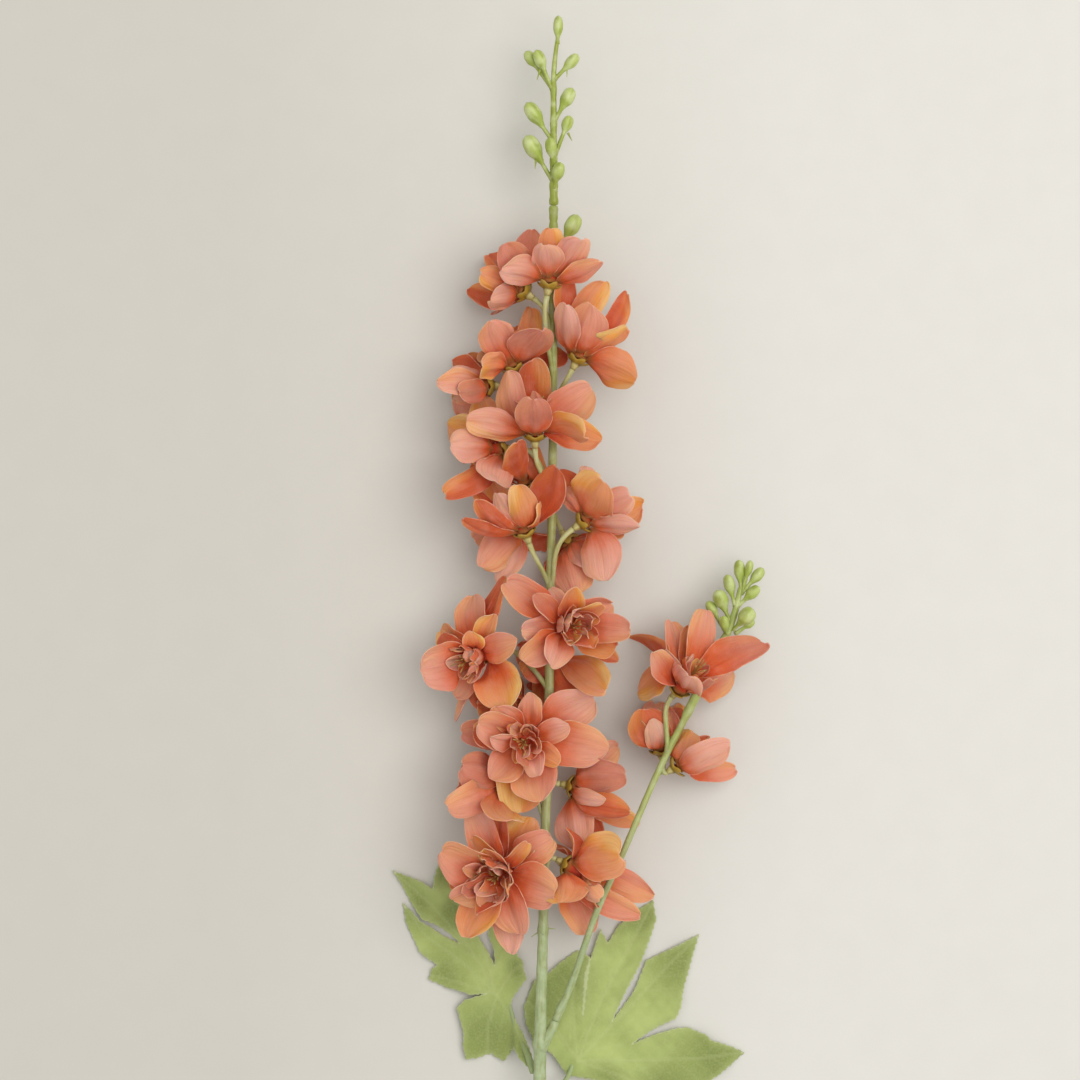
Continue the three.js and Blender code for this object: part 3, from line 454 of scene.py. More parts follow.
    def bump(self, height: object, strength: float, distance: float) -> None:
        """Raise the surface's shade by a height, over any bump that it has.

        Args:
            height: the height's output, from 0 to 1.
            strength: how much of it shows.
            distance: what a height of 1 stands for, in mm.
        """
        made = self.node("ShaderNodeBump")
        made.inputs["Strength"].default_value = strength
        made.inputs["Distance"].default_value = distance * MM
        self.feed(made.inputs["Height"], height)
        before = self.shader.inputs["Normal"]
        if before.is_linked:
            self.link(before.links[0].from_socket, made.inputs["Normal"])
        self.link(made.outputs[0], before)


@dataclass(frozen=True)
class Layer:
    """A noise that lays one colour over another, where it is strong enough.

    Attributes:
        colour: what it lays.
        reach: the noise at which it starts, and at which it is full.
        amount: how much of its colour shows where it is full.
    """

    colour: Colour
    reach: Span
    amount: float

    def over(self, g: Graph, noise: object, dye: object) -> bpy.types.NodeSocket:
        """Lay the colour over a dye by a noise."""
        return g.mix(g.ranged(noise, self.reach, (0.0, self.amount)), dye, self.colour)


@dataclass(frozen=True)
class Cloth:
    """What two cloths share: how rough they are, their sheen and their gloss.

    Attributes:
        roughness: at the noise's low and high places.
        sheen: how much sheen it has.
        sheen_roughness: how wide the sheen is.
        gloss: the level of its mirror light.
        thread: width of a thread in mm.
        weave_height: of its threads in mm.
        weave_strength: how much of that height shows.
    """

    roughness: Span
    sheen: float
    sheen_roughness: float
    gloss: float
    thread: float
    weave_height: float
    weave_strength: float

    def dress(self, g: Graph, noise: object) -> None:
        """Set the roughness, sheen and gloss of a cloth.

        Args:
            g: the cloth's graph.
            noise: what makes its roughness uneven.
        """
        g.set("Roughness", g.ranged(noise, UNEVEN, self.roughness))
        g.set("Sheen Weight", self.sheen)
        g.set("Sheen Roughness", self.sheen_roughness)
        g.set("Specular IOR Level", self.gloss)


@dataclass(frozen=True)
class PetalCloth:
    """Dyed silk: threads, lengthwise creases, a pale cut edge and a soft sheen.

    Attributes:
        cloth: its threads, roughness and sheen.
        crease, vein, cloud, fleck: the dye's darker creases and lines, and its paler clouds and flecks.
        crease_scale, vein_scale: how close creases and lines stand across the petal and along it, for a mm.
        cloud_scale, patch_scale, fleck_scale: how fine the clouds, the rim's worn parts and the flecks are.
        edge_colour: of the cut edge, where the dye is thin.
        edge_width: where the pale edge is full and where it ends, in mm from the cut.
        edge_share: how much of it shows where the rim is less worn and where it is more so.
        worn: the noise at those two places.
        sheen_tint: the sheen's colour.
        through: how much light goes into the cloth.
        through_colour: how far each colour of it goes, for through_depth mm.
        through_depth: how deep it goes, in mm.
        crease_height: of the creases in mm.
        crease_strength: how much of that height shows.
    """

    cloth: Cloth = Cloth((0.54, 0.72), 0.04, 0.4, 0.1, 0.3, 0.08, 0.18)
    crease: Layer = Layer((0.46, 0.075, 0.028), (0.46, 0.78), 0.26)
    vein: Layer = Layer((0.42, 0.08, 0.035), (0.5, 0.75), 0.13)
    cloud: Layer = Layer((0.82, 0.42, 0.32), (0.45, 0.78), 0.22)
    fleck: Layer = Layer((0.92, 0.6, 0.5), (0.3, 0.8), 0.06)
    crease_scale: Span = (0.95, 0.07)
    vein_scale: Span = (2.6, 0.05)
    cloud_scale: float = 0.16
    patch_scale: float = 0.3
    fleck_scale: float = 2.4
    edge_colour: Colour = (0.86, 0.52, 0.38)
    edge_width: Span = (0.05, 0.42)
    edge_share: Span = (0.1, 0.75)
    worn: Span = (0.35, 0.65)
    sheen_tint: Colour = (1.0, 0.8, 0.68)
    through: float = 0.5
    through_colour: Colour = (1.0, 0.2, 0.06)
    through_depth: float = 1.6
    crease_height: float = 0.6
    crease_strength: float = 0.8

    def lines(self, g: Graph, scale: Span, detail: float) -> bpy.types.NodeSocket:
        """Read a noise that is drawn out along the petal.

        Args:
            g: the cloth's graph.
            scale: how close its lines stand across the petal and along it.
            detail: how many finer layers it has.

        Returns:
            The noise's output.
        """
        across = g.math("MULTIPLY", g.value("across"), scale[0])
        along = g.math("MULTIPLY", g.value("along"), scale[1])
        return g.noise(g.vector(across, along, g.value("sort")), 1.0, detail)

    def material(self) -> bpy.types.Material:
        """Make the cloth's material.

        Returns:
            The material.
        """
        g = Graph("petal_silk")
        flat = g.vector(g.value("across"), g.value("along"), g.value("sort"))
        crease = self.lines(g, self.crease_scale, 4.0)
        dye = self.crease.over(g, crease, g.dye("dye"))
        dye = self.vein.over(g, self.lines(g, self.vein_scale, 2.0), dye)
        dye = self.cloud.over(g, g.noise(flat, self.cloud_scale, 2.0), dye)
        dye = self.fleck.over(g, g.noise(flat, self.fleck_scale, 2.0), dye)
        edge = g.ranged(g.value("edge"), self.edge_width, (1.0, 0.0))
        worn = g.ranged(g.noise(flat, self.patch_scale, 2.0), self.worn, self.edge_share)
        g.set("Base Color", g.mix(g.math("MULTIPLY", edge, worn), dye, self.edge_colour))
        self.cloth.dress(g, crease)
        g.set("Sheen Tint", (*self.sheen_tint, 1.0))
        g.set("Subsurface Weight", self.through)
        g.set("Subsurface Radius", self.through_colour)
        g.set("Subsurface Scale", self.through_depth * MM)
        g.bump(crease, self.crease_strength, self.crease_height)
        g.bump(g.weave(flat, self.cloth.thread), self.cloth.weave_strength, self.cloth.weave_height)
        return g.material


@dataclass(frozen=True)
class LeafCloth:
    """Printed leaf cloth: weave, pressed veins, blotches and a paler vein print.

    Attributes:
        cloth: its threads, roughness and sheen.
        blotch, fleck, vein: the darker green, the paler flecks and the print along the veins.
        gap: painted shade between the threads, a darker green where the weave is low.
        rim: the paler cut edge.
        blotch_scale, fleck_scale: how fine the blotches and flecks are.
        vein_height: of the pressed veins in mm.
        vein_strength: how much of that height shows.
    """

    cloth: Cloth = Cloth((0.62, 0.8), 0.18, 0.5, 0.3, 0.42, 0.14, 0.35)
    blotch: Layer = Layer((0.27, 0.33, 0.085), (0.35, 0.68), 0.6)
    fleck: Layer = Layer((0.5, 0.56, 0.24), (0.42, 0.75), 0.3)
    vein: Layer = Layer((0.56, 0.62, 0.30), (0.1, 0.95), 0.24)
    gap: Layer = Layer((0.27, 0.33, 0.085), (0.6, 0.0), 0.14)
    rim: Layer = Layer((0.62, 0.68, 0.4), (0.6, 0.0), 0.55)
    blotch_scale: float = 0.07
    fleck_scale: float = 1.1
    vein_height: float = 0.35
    vein_strength: float = 0.6

    def material(self) -> bpy.types.Material:
        """Make the leaf's material.

        Returns:
            The material.
        """
        g = Graph("leaf_cloth")
        flat = g.vector(g.value("across"), g.value("along"))
        fleck = g.noise(flat, self.fleck_scale, 3.0)
        weave = g.weave(flat, self.cloth.thread)
        green = self.blotch.over(g, g.noise(flat, self.blotch_scale, 4.0), g.dye("dye"))
        green = self.fleck.over(g, fleck, green)
        green = self.vein.over(g, g.value("vein"), green)
        # painted shade in the low places of the weave
        green = self.gap.over(g, weave, green)
        green = self.rim.over(g, g.value("edge"), green)
        g.set("Base Color", green)
        self.cloth.dress(g, fleck)
        g.bump(weave, self.cloth.weave_strength, self.cloth.weave_height)
        g.bump(g.value("vein"), self.vein_strength, self.vein_height)
        return g.material


@dataclass(frozen=True)
class Plastic:
    """Moulded plastic: the dye of its points, streaks along it, specks and a soft gloss.

    Attributes:
        name: of the material.
        pale: colour of the pale patches, partly worn mottling and partly painted highlight.
        dark: colour of the streaks.
        roughness: of the plastic.
        pale_share: how much of the pale shows.
        streak_length: how much the streaks follow a mm along the piece.
        streak_scale, cloud_scale, speck_scale: how fine the streaks, clouds and specks are.
        streak_reach, cloud_reach, speck_reach: the noise at which each starts, and at which it is full.
        streak_share, speck_share: how much of the dark shows in streaks and specks.
        smoother, rougher: how far the roughness goes down and up.
        gloss: the level of its mirror light.
        through: how much light goes into it.
        through_colour: how far each colour of it goes, for through_depth mm.
        through_depth: how deep it goes, in mm.
        streak_height, speck_height: their heights in mm.
        streak_strength, speck_strength: how much of those heights shows.
    """

    name: str
    pale: Colour
    dark: Colour
    roughness: float = 0.42
    pale_share: float = 0.35
    streak_length: float = 0.09
    streak_scale: float = 1.6
    cloud_scale: float = 190.0
    speck_scale: float = 900.0
    streak_reach: Span = (0.46, 0.66)
    cloud_reach: Span = (0.45, 0.68)
    speck_reach: Span = (0.6, 0.8)
    streak_share: float = 0.62
    speck_share: float = 0.25
    smoother: float = 0.1
    rougher: float = 0.12
    gloss: float = 0.45
    through: float = 0.12
    through_colour: Colour = (0.8, 1.0, 0.35)
    through_depth: float = 1.5
    streak_height: float = 0.25
    speck_height: float = 0.08
    streak_strength: float = 0.35
    speck_strength: float = 0.15

    def material(self) -> bpy.types.Material:
        """Make the plastic's material.

        Returns:
            The material.
        """
        g = Graph(self.name)
        spot = g.position()
        stretched = g.vector(g.value("round"), g.math("MULTIPLY", g.value("along"), self.streak_length))
        streak = g.noise(stretched, self.streak_scale)
        cloud = g.noise(spot, self.cloud_scale)
        speck = g.noise(spot, self.speck_scale, 2.0)
        dye = Layer(self.dark, self.streak_reach, self.streak_share).over(g, streak, g.dye("dye"))
        # pale patches by a noise: partly worn mottling, partly painted highlight
        dye = Layer(self.pale, self.cloud_reach, self.pale_share).over(g, cloud, dye)
        dye = Layer(self.dark, self.speck_reach, self.speck_share).over(g, speck, dye)
        g.set("Base Color", dye)
        uneven = (self.roughness - self.smoother, self.roughness + self.rougher)
        g.set("Roughness", g.ranged(cloud, UNEVEN, uneven))
        g.set("Specular IOR Level", self.gloss)
        g.set("Subsurface Weight", self.through)
        g.set("Subsurface Radius", self.through_colour)
        g.set("Subsurface Scale", self.through_depth * MM)
        g.bump(streak, self.streak_strength, self.streak_height)
        g.bump(speck, self.speck_strength, self.speck_height)
        return g.material


# ------------------------------------------------------------------ petals


class Tint(Enum):
    """The dyes of the petals, by the letter that stands for each in the floret list."""

    SALMON = "s"
    ORANGE = "o"
    PINK = "p"
    DUSKY = "d"
    # deep brick red: partly a darker dye, partly painted shade on petals that lie in shadow
    BRICK = "b"
    STRIPED = "t"


@dataclass(frozen=True)
class Dye:
    """Colours of one dye, as linear red, green and blue.

    Attributes:
        body: of the petal's inner face.
        tip: towards its end.
        back: of its outer face.
        blush: how much of it the orange takes.
    """

    body: Colour
    tip: Colour
    back: Colour
    blush: float


CALYX_GOLD: Colour = (0.40, 0.24, 0.018)
CALYX_OLIVE: Colour = (0.19, 0.115, 0.008)
CALYX_STALK: Colour = (0.55, 0.48, 0.19)
# The throat colours are partly the petals' dye and partly painted shade of the floret's depths.
THROAT_DYE_AND_SHADE: Colour = (0.46, 0.03, 0.005)
GLOW_DYE_AND_SHADE: Colour = (0.62, 0.105, 0.022)
ROOT_OLIVE: Colour = (0.27, 0.10, 0.014)
AMBER: Colour = (0.78, 0.33, 0.055)
STRAW: Colour = (0.88, 0.55, 0.21)

DYES: dict[Tint, Dye] = {
    Tint.SALMON: Dye((0.60, 0.13, 0.053), (0.75, 0.36, 0.245), (0.61, 0.19, 0.11), 0.25),
    Tint.ORANGE: Dye((0.63, 0.15, 0.038), (0.75, 0.34, 0.15), (0.65, 0.22, 0.09), 1.0),
    Tint.PINK: Dye((0.63, 0.175, 0.097), (0.79, 0.43, 0.33), (0.68, 0.28, 0.195), 0.12),
    Tint.DUSKY: Dye((0.47, 0.092, 0.04), (0.56, 0.22, 0.145), (0.47, 0.15, 0.092), 0.1),
    Tint.BRICK: Dye((0.46, 0.052, 0.014), (0.58, 0.135, 0.052), (0.50, 0.088, 0.03), 0.3),
    Tint.STRIPED: Dye((0.62, 0.165, 0.086), (0.77, 0.39, 0.28), (0.66, 0.255, 0.16), 0.5),
}

STRIPE: Colour = (0.82, 0.44, 0.33)
ROWS_ALONG = 25
POINTS_ACROSS = 19
FLAP_FOLD = 2.0  # width of the fold between a leaf and its flap
REACH = 1.045  # how far a petal's rounded end goes, as a share of its spine
WIDE_EDGE = 3.0  # how far from the cut the edge is measured, in mm


class Cut(Enum):
    """How the solid petals are cut: rows of a share of the length and a share of the width."""

    BROAD = ((0.0, 0.0), (0.3, 0.55), (0.66, 1.0), (0.9, 0.82), (1.0, 0.4))
    BACK = ((0.0, 0.0), (0.35, 0.62), (0.78, 1.0), (1.0, 0.55))
    SLIM = ((0.0, 0.0), (0.55, 0.95), (0.85, 0.8), (1.0, 0.0))


SHRINKS = (1.0, 0.86, 0.74)
LIFTS = (0, 3, -3, 6, -6, 10, -10, 15, -15)
TWISTS = (0, 12, -12, 26, -26, 45, -45)
SWINGS = (0, 8, -8)
ARCHES = (0.0, 0.14)
MATCH = 0.03  # how well a solid petal has to agree with a trial, in mm


@dataclass(frozen=True)
class Move:
    """A small move by which a petal finds free room.

    Attributes:
        shrink: the share of its length that it keeps.
        lift: how far its tip rises, in mm.
        twist: turn about its spine in degrees.
        swing: turn about the floret's axis in degrees.
        arch: how much more its spine arches, as a share of its length.
    """

    shrink: float
    lift: float
    twist: float
    swing: float
    arch: float

    def cost(self) -> float:
        """Say how far the move takes a petal from its first place."""
        shift = abs(self.lift) / 3 + abs(self.swing) / 4
        return shift + (16 * (1 - self.shrink) + abs(self.twist) / 10 + self.arch * 5)


SETTLING = sorted((Move(*parts) for parts in product(SHRINKS, LIFTS, TWISTS, SWINGS, ARCHES)), key=Move.cost)


@dataclass(frozen=True)
class PetalForm:
    """How the fine petal's outline and folds differ from one petal to another. Heights are in mm.

    Attributes:
        broad, slim_broad: where a petal is broadest, and a slim one, as a share of its length.
        end_power: how square its end is.
        notch, notch_width: depth and width of the dent in its end, as shares of its length and half width.
        slant: how much its end is cut askew.
        waver: of its end's line.
        lopsided: how much wider one side is than the other.
        scallop: waves of its outline, as a share of its width.
        bowl, flatter: depth of the bowl, and how much of it the end may lose.
        crease, fine_crease, wide_crease: heights of the pressed creases.
        drift: how far a crease wanders across.
        rim: height of the waves along the rim.
        tip, tip_back: how far the end may turn in, and out.
        curl, curl_back: how far one side may turn in, and out.
        fold, deep_fold: depth of the fold along the middle, and what it may gain.
        fold_width: of that fold, as a share of half the width.
        fold_drift: how far that fold may be from the middle.
        full_width: the width in mm from which all heights are whole.
        waver_height: of the last fine waves.
    """

    broad: float = 0.66
    slim_broad: float = 0.6
    end_power: float = 2.5
    notch: float = 0.05
    notch_width: float = 0.34
    slant: float = 0.09
    waver: float = 0.014
    lopsided: float = 0.26
    scallop: float = 0.045
    bowl: float = 0.85
    flatter: float = 0.6
    crease: float = 0.42
    fine_crease: float = 0.2
    wide_crease: float = 0.35
    drift: float = 0.22
    rim: float = 1.15
    tip: float = 3.0
    tip_back: float = 1.7
    curl: float = 3.2
    curl_back: float = 0.5
    fold: float = 0.25
    deep_fold: float = 0.9
    fold_width: float = 0.16
    fold_drift: float = 0.25
    full_width: float = 14.0
    waver_height: float = 0.12


@dataclass(frozen=True)
class PetalPaint:
    """How far each colour reaches on a petal, as shares of its length.

    Attributes:
        depth, back_depth: of the dark throat, partly dye and partly painted shade, on the inner face and the
            outer one.
        uneven: how much that depth differs across the petal.
        lively: how much the body's dye differs from petal to petal.
        throat: where the throat's darkest red, partly painted shade, starts to turn to the brighter red, and
            where it has turned fully.
        body: where the body's dye starts, and where it is full.
        olive: where the outer face's olive root starts to end, and where it has ended.
        tip: where the tip's dye starts, and where it is full.
        tip_share: how much of it shows there.
        amber, straw: where the orange blush and its pale end start, and where they are full.
        amber_share, straw_share: how much of them shows there.
        stripe_share: how much of the stripes shows.
    """

    depth: float = 0.88
    back_depth: float = 0.66
    uneven: float = 0.1
    lively: float = 0.12
    throat: Span = (-0.1, 0.55)
    body: Span = (0.3, 1.0)
    olive: Span = (0.06, 0.26)
    tip: Span = (0.4, 1.0)
    tip_share: float = 0.85
    amber: Span = (0.52, 0.82)
    straw: Span = (0.74, 1.02)
    amber_share: float = 0.9
    straw_share: float = 0.8
    stripe_share: float = 0.4


FORM = PetalForm()
PAINT = PetalPaint()


@dataclass
class Petal:
    """One petal: its root on the collar, its tip and its bowl, as the solid petals have them.

    Attributes:
        tip: end of its spine.
        inwards: where its inner face looks.
        width: at its broadest.
        roll: turn about its spine in degrees.
        cup: how deep its bowl is, as a share of half its width.
        cut: how the solid petal is cut.
        tint: its dye.
        sort: a number of its own, for small differences.
        axis: its floret's axis.
        root: middle of its root on the collar.
        out: the direction away from the axis there.
        corners: the two ends of its root.
        turn: its turn round the axis in degrees.
        level: its ring on the collar, counted from the lowest.
        arch: how much more its spine arches, as a share of its length.
    """

    tip: Array
    inwards: Array
    width: float
    roll: float
    cup: float
    cut: Cut
    tint: Tint
    sort: float
    axis: Array = field(default_factory=lambda: np.zeros(3))
    root: Array = field(default_factory=lambda: np.zeros(3))
    out: Array = field(default_factory=lambda: np.zeros(3))
    corners: Array = field(default_factory=lambda: np.zeros((2, 3)))
    turn: float = 0.0
    level: int = 0
    arch: float = 0.0

    def moved(self, move: Move) -> "Petal":
        """Give the petal after one of the settling moves.

        Args:
            move: the move.

        Returns:
            The moved petal.
        """
        way = (self.tip - self.root) * move.shrink + np.array([0, 0, move.lift])
        way = rotated(way, self.axis, move.swing)
        width = self.width * (0.5 + move.shrink / 2)
        return replace(self, tip=self.root + way, roll=self.roll + move.twist, arch=move.arch, width=width)

    def spine(self, share: Array) -> tuple[Array, Array, Array, Array]:
        """Follow the petal's spine.

        Args:
            share: shares of its length.

        Returns:
            Points, directions along, across and up out of the bowl.
        """
        length = np.linalg.norm(self.tip - self.root)
        knee = (self.root + self.out * (KNEE_OUT - KNEE_IN * self.level) * length
                + self.axis * (KNEE_UP + KNEE_RISE * self.level + self.arch) * length)
        t = share[:, None]
        point = (1 - t) ** 2 * self.root + 2 * t * (1 - t) * knee + t ** 2 * self.tip
        along = unit(2 * (1 - t) * (knee - self.root) + 2 * t * (self.tip - knee))
        side = unit(np.cross(self.inwards, self.tip - self.root))
        across = rotated(np.broadcast_to(side, along.shape), along, self.roll * np.minimum(1, share * 2))
        return point, along, across, np.cross(along, across)

    def solid_points(self) -> Array:
        """Give a few middle points that the solid petal must have.

        Returns:
            The middle and the two ends of its broadest row.
        """
        share, spread = max(self.cut.value, key=lambda row: row[1])
        point, _, across, up = self.spine(np.array([share]))
        half = self.width / 2 * spread
        v = np.array([-1.0, 0.0, 1.0])[:, None]
        return bedded(point + across * v * half + up * (self.cup * half * v * v))

    def spread(self, share: Array) -> Array:
        """Give the fine outline: a round end on a wedge.

        Args:
            share: shares of its length.

        Returns:
            The half width there, as a share of half the petal's width.
        """
        broad = FORM.slim_broad if self.cut is Cut.SLIM else FORM.broad
        root = float(np.linalg.norm(self.corners[1] - self.corners[0])) / self.width
        t = np.clip(share / broad, 0, 1)
        wedge = root + (1 - root) * (t * (1.6 - 0.2 * t - 0.4 * t ** 3))
        past = np.clip((share - broad) / (REACH + 0.006 - broad), 0, 1)
        round_end = (1 - past ** FORM.end_power) ** 0.5
        return np.where(share < broad, wedge, round_end)

    def middle(self) -> tuple[Array, Array, Array]:
        """Lay out the fine petal's middle surface.

        Returns:
            Rows of points, and the share along and across of each.
        """
        rim = REACH * (1 - (1 - np.linspace(0, 1, ROWS_ALONG)) ** 1.5)
        v = np.sin(np.linspace(-1, 1, POINTS_ACROSS) * math.pi / 2)
        share, across_share = np.meshgrid(rim, v, indexing="ij")
        notch = FORM.notch * (pick(self.sort, 3) - 0.55)
        slant = FORM.slant * (pick(self.sort, 4) - 0.5)
        x = across_share * self.spread(share)
        dent = notch * np.exp(-((x - 3 * slant) / FORM.notch_width) ** 2)
        ragged = slant * x - dent + FORM.waver * np.sin(5 * x + self.sort)
        share_used = share + ragged * smooth(0.6, 1.0, share)
        point, along, across, up = self.spine(share_used.ravel())
        v_flat = across_share.ravel()
        half = self.width / 2 * self.spread(share.ravel())
        one_side = FORM.lopsided * (pick(self.sort, 6) - 0.5)
        lopsided = 1 + one_side * v_flat * smooth(0.2, 0.6, share.ravel())
        waves = np.sin(9 * share.ravel() + 7 * pick(self.sort, 5) + 2 * np.sign(v_flat))
        half = half * lopsided * (1 + FORM.scallop * waves)
        bowl = self.cup * (FORM.bowl - FORM.flatter * smooth(0.45, 1.0, share.ravel()) * pick(self.sort, 8))
        flat = point + across * (v_flat * half)[:, None] + up * (bowl * half * v_flat ** 2)[:, None]
        root_line = self.corners[0] + (self.corners[1] - self.corners[0]) * ((v_flat + 1) / 2)[:, None]
        blend = smooth(0.0, 0.16, share.ravel())[:, None]
        flat = root_line * (1 - blend) + flat * blend
        flat = bedded(flat + up * self.relief(share.ravel(), v_flat)[:, None])
        return flat.reshape(ROWS_ALONG, POINTS_ACROSS, 3), share, across_share

    def relief(self, share: Array, v: Array) -> Array:
        """Give the small folds over the bowl: creases along it, a wavy rim and a tip that turns.

        Args:
            share: shares along the petal.
            v: shares across it, from -1 to 1.

        Returns:
            The heights in mm.
        """
        a, b, c = (2 * math.pi * pick(self.sort, k) for k in (11, 12, 13))
        middle = smooth(0.05, 0.3, share) * (1 - 0.6 * smooth(0.7, 1.0, share))
        drift = v + FORM.drift * np.sin(3.1 * share + c)
        fine = FORM.fine_crease * np.sin(drift * 13 + b) * np.sin(share * 5 + a)
        crease = (FORM.crease * np.sin(drift * 6.5 + a) + fine) * middle
        crease = crease + FORM.wide_crease * np.sin(share * 7 + a + 2 * v) * smooth(0.3, 0.7, share)
        waves = np.sin(share * 7.5 + b + 2.2 * np.sign(v))
        rim = FORM.rim * np.abs(v) ** 2.4 * waves * smooth(0.2, 0.6, share)
        end = smooth(0.62, 1.05, share + 0.12 * v * np.sin(a)) ** 2
        tip = (FORM.tip * pick(self.sort, 14) - FORM.tip_back) * end
        curled = 1 if pick(self.sort, 15) > 0.5 else -1
        curl = FORM.curl * pick(self.sort, 16) ** 2 - FORM.curl_back
        curl = curl * smooth(0.3, 1.0, curled * v) * smooth(0.25, 0.6, share)
        bent = FORM.fold_drift * (pick(self.sort, 18) - 0.5)
        depth = FORM.fold + FORM.deep_fold * pick(self.sort, 17) ** 3
        fold = -depth * np.exp(-((v - bent) / FORM.fold_width) ** 2) * middle
        whole = (crease + rim + tip + curl + fold) * min(1.0, self.width / FORM.full_width)
        return whole + FORM.waver_height * np.sin(share * 14 + c) * v

    def colours(self, share: Array, v: Array, is_back: bool) -> Array:
        """Dye the points of one face.

        Args:
            share: their shares along the petal.
            v: their shares across it.
            is_back: whether it is the outer face.

        Returns:
            Rows of linear colours.
        """
        dye = DYES[self.tint]
        lively = 1 + PAINT.lively * (pick(self.sort, 21) - 0.5)
        body = np.array(dye.back if is_back else dye.body) * lively
        depth = (PAINT.back_depth if is_back else PAINT.depth) + PAINT.uneven * np.sin(v * 6 + self.sort)
        # painted shade with the dye: the dark throat reaches far along each petal
        colour = mixed(THROAT_DYE_AND_SHADE, GLOW_DYE_AND_SHADE, smooth(*PAINT.throat, share / depth))
        colour = mixed(colour, body, smooth(*PAINT.body, share / depth))
        if is_back:
            colour = mixed(ROOT_OLIVE, colour, smooth(*PAINT.olive, share))
        colour = mixed(colour, dye.tip, PAINT.tip_share * smooth(*PAINT.tip, share))
        side = 1 if pick(self.sort, 22) > 0.5 else -1
        reach = share * (0.45 + 0.4 * pick(self.sort, 23)) + side * v * (0.35 + 0.3 * pick(self.sort, 24))
        reach = reach + 0.05 * np.sin(v * 7 + self.sort) + 0.04 * np.sin(share * 9)
        colour = mixed(colour, AMBER, PAINT.amber_share * dye.blush * smooth(*PAINT.amber, reach))
        colour = mixed(colour, STRAW, PAINT.straw_share * dye.blush * smooth(*PAINT.straw, reach))
        if self.tint is Tint.STRIPED:
            striped = (np.sin(v * 26 + self.sort) > 0.2) * smooth(0.3, 0.7, share)
            colour = mixed(colour, STRIPE, PAINT.stripe_share * striped)
        return colour

    def add_to(self, piece: Piece) -> None:
        """Add the fine petal to its bloom: two faces of cloth joined along the cut edge.

        Args:
            piece: the bloom.
        """
        middle, share, v = self.middle()
        d_along = np.gradient(middle, axis=0)
        d_across = np.gradient(middle, axis=1)
        normal = unit(np.cross(d_along, d_across)).reshape(-1, 3)
        flat = middle.reshape(-1, 3)
        share, v = share.ravel(), v.ravel()
        count = len(flat)
        inner = np.cross(*self.spine(np.array([0.5]))[1:3])[0]
        sign = 1.0 if np.dot(normal[count // 2], inner) > 0 else -1.0
        faces = grid_faces(ROWS_ALONG, POINTS_ACROSS)
        over = [face[::-1] for face in faces] if sign < 0 else faces
        rim = [k * POINTS_ACROSS for k in range(ROWS_ALONG)]
        rim += [(ROWS_ALONG - 1) * POINTS_ACROSS + j for j in range(1, POINTS_ACROSS)]
        rim += [k * POINTS_ACROSS + POINTS_ACROSS - 1 for k in range(ROWS_ALONG - 2, -1, -1)]
        sides = [[a, b, b + count, a + count] for a, b in zip(rim, rim[1:])]
        points = np.concatenate([flat + normal * sign * CLOTH / 2, flat - normal * sign * CLOTH / 2])
        half = self.width / 2 * self.spread(share)
        length = np.linalg.norm(self.tip - self.root)
        edge = np.minimum((1 - np.abs(v)) * half, (REACH - share) * length)
        edge = np.where(share < 0.1, WIDE_EDGE, edge) + max(0.0, 8.0 - self.width) * 0.15
        back = [[k + count for k in face[::-1]] for face in over]
        piece.add(
            points, over + back + sides,
            dye=np.concatenate([self.colours(share, v, False), self.colours(share, v, True)]),
            across=np.tile(v * self.width / 2, 2), along=np.tile(share * length, 2),
            edge=np.tile(np.minimum(edge, WIDE_EDGE), 2), sort=np.full(2 * count, self.sort * 7.3 % 50),
        )


# ------------------------------------------------------------------ curves and turned parts

FINE_STEPS = 401  # points of a curve when a place on it is looked up
ASKEW = (0.31, 0.17, 0.93)  # a direction that no stalk has


@dataclass
class Path:
    """A soft curve through places of the sheet, as the solid stems follow it.

    Attributes:
        points: what it goes through, in mm.
    """

    points: Array

    def at(self, share: float) -> Array:
        """Give the point at a share of the curve, counted evenly between its places.

        Args:
            share: from 0 at its start to 1 at its end.

        Returns:
            The point in mm.
        """
        points = self.points
        last = len(points) - 1
        spot = share * last
        k = min(int(math.floor(spot)), last - 1)
        t = spot - k
        before = points[k - 1] if k > 0 else 2 * points[0] - points[1]
        after = points[k + 2] if k + 2 <= last else 2 * points[last] - points[last - 1]
        four = [before, points[k], points[k + 1], after]
        gaps = [np.sum((b - a) ** 2) ** 0.25 for a, b in zip(four, four[1:])]
        slope_in = ((four[1] - four[0]) / gaps[0] - (four[2] - four[0]) / (gaps[0] + gaps[1])
                    + (four[2] - four[1]) / gaps[1]) * gaps[1]
        slope_out = ((four[2] - four[1]) / gaps[1] - (four[3] - four[1]) / (gaps[1] + gaps[2])
                     + (four[3] - four[2]) / gaps[2]) * gaps[1]
        return (four[1] + slope_in * t + (-3 * four[1] + 3 * four[2] - 2 * slope_in - slope_out) * t ** 2
                + (2 * four[1] - 2 * four[2] + slope_in + slope_out) * t ** 3)

    def along(self, count: int) -> Array:
        """Give points from end to end."""
        return np.array([self.at(k / (count - 1)) for k in range(count)])

    def at_row(self, row: float) -> Array:
        """Give the point at a row of the sheet.

        Args:
            row: squares down.

        Returns:
            The nearest of many points of the curve, in mm.
        """
        target = (SHEET_MIDDLE - row) * SQUARE
        points = self.along(FINE_STEPS)
        return points[np.argmin(np.abs(points[:, 1] - target))]


def path_of(places: list[list[float]]) -> Path:
    """Make a path through places of the sheet."""
    return Path(np.array([place(*spot) for spot in places]))


def cap_faces(rows: int, sides: int) -> list[list[int]]:
    """List the faces that close both ends of a stack of rings.

    Args:
        rows: rings in the stack, which two points for the ends' middles follow.
        sides: points in each ring.

    Returns:
        The triangles.
    """
    count = rows * sides
    faces = []
    for j in range(sides):
        faces.append([j, (j + 1) % sides, count])
        faces.append([count - sides + (j + 1) % sides, count - sides + j, count + 1])
    return faces


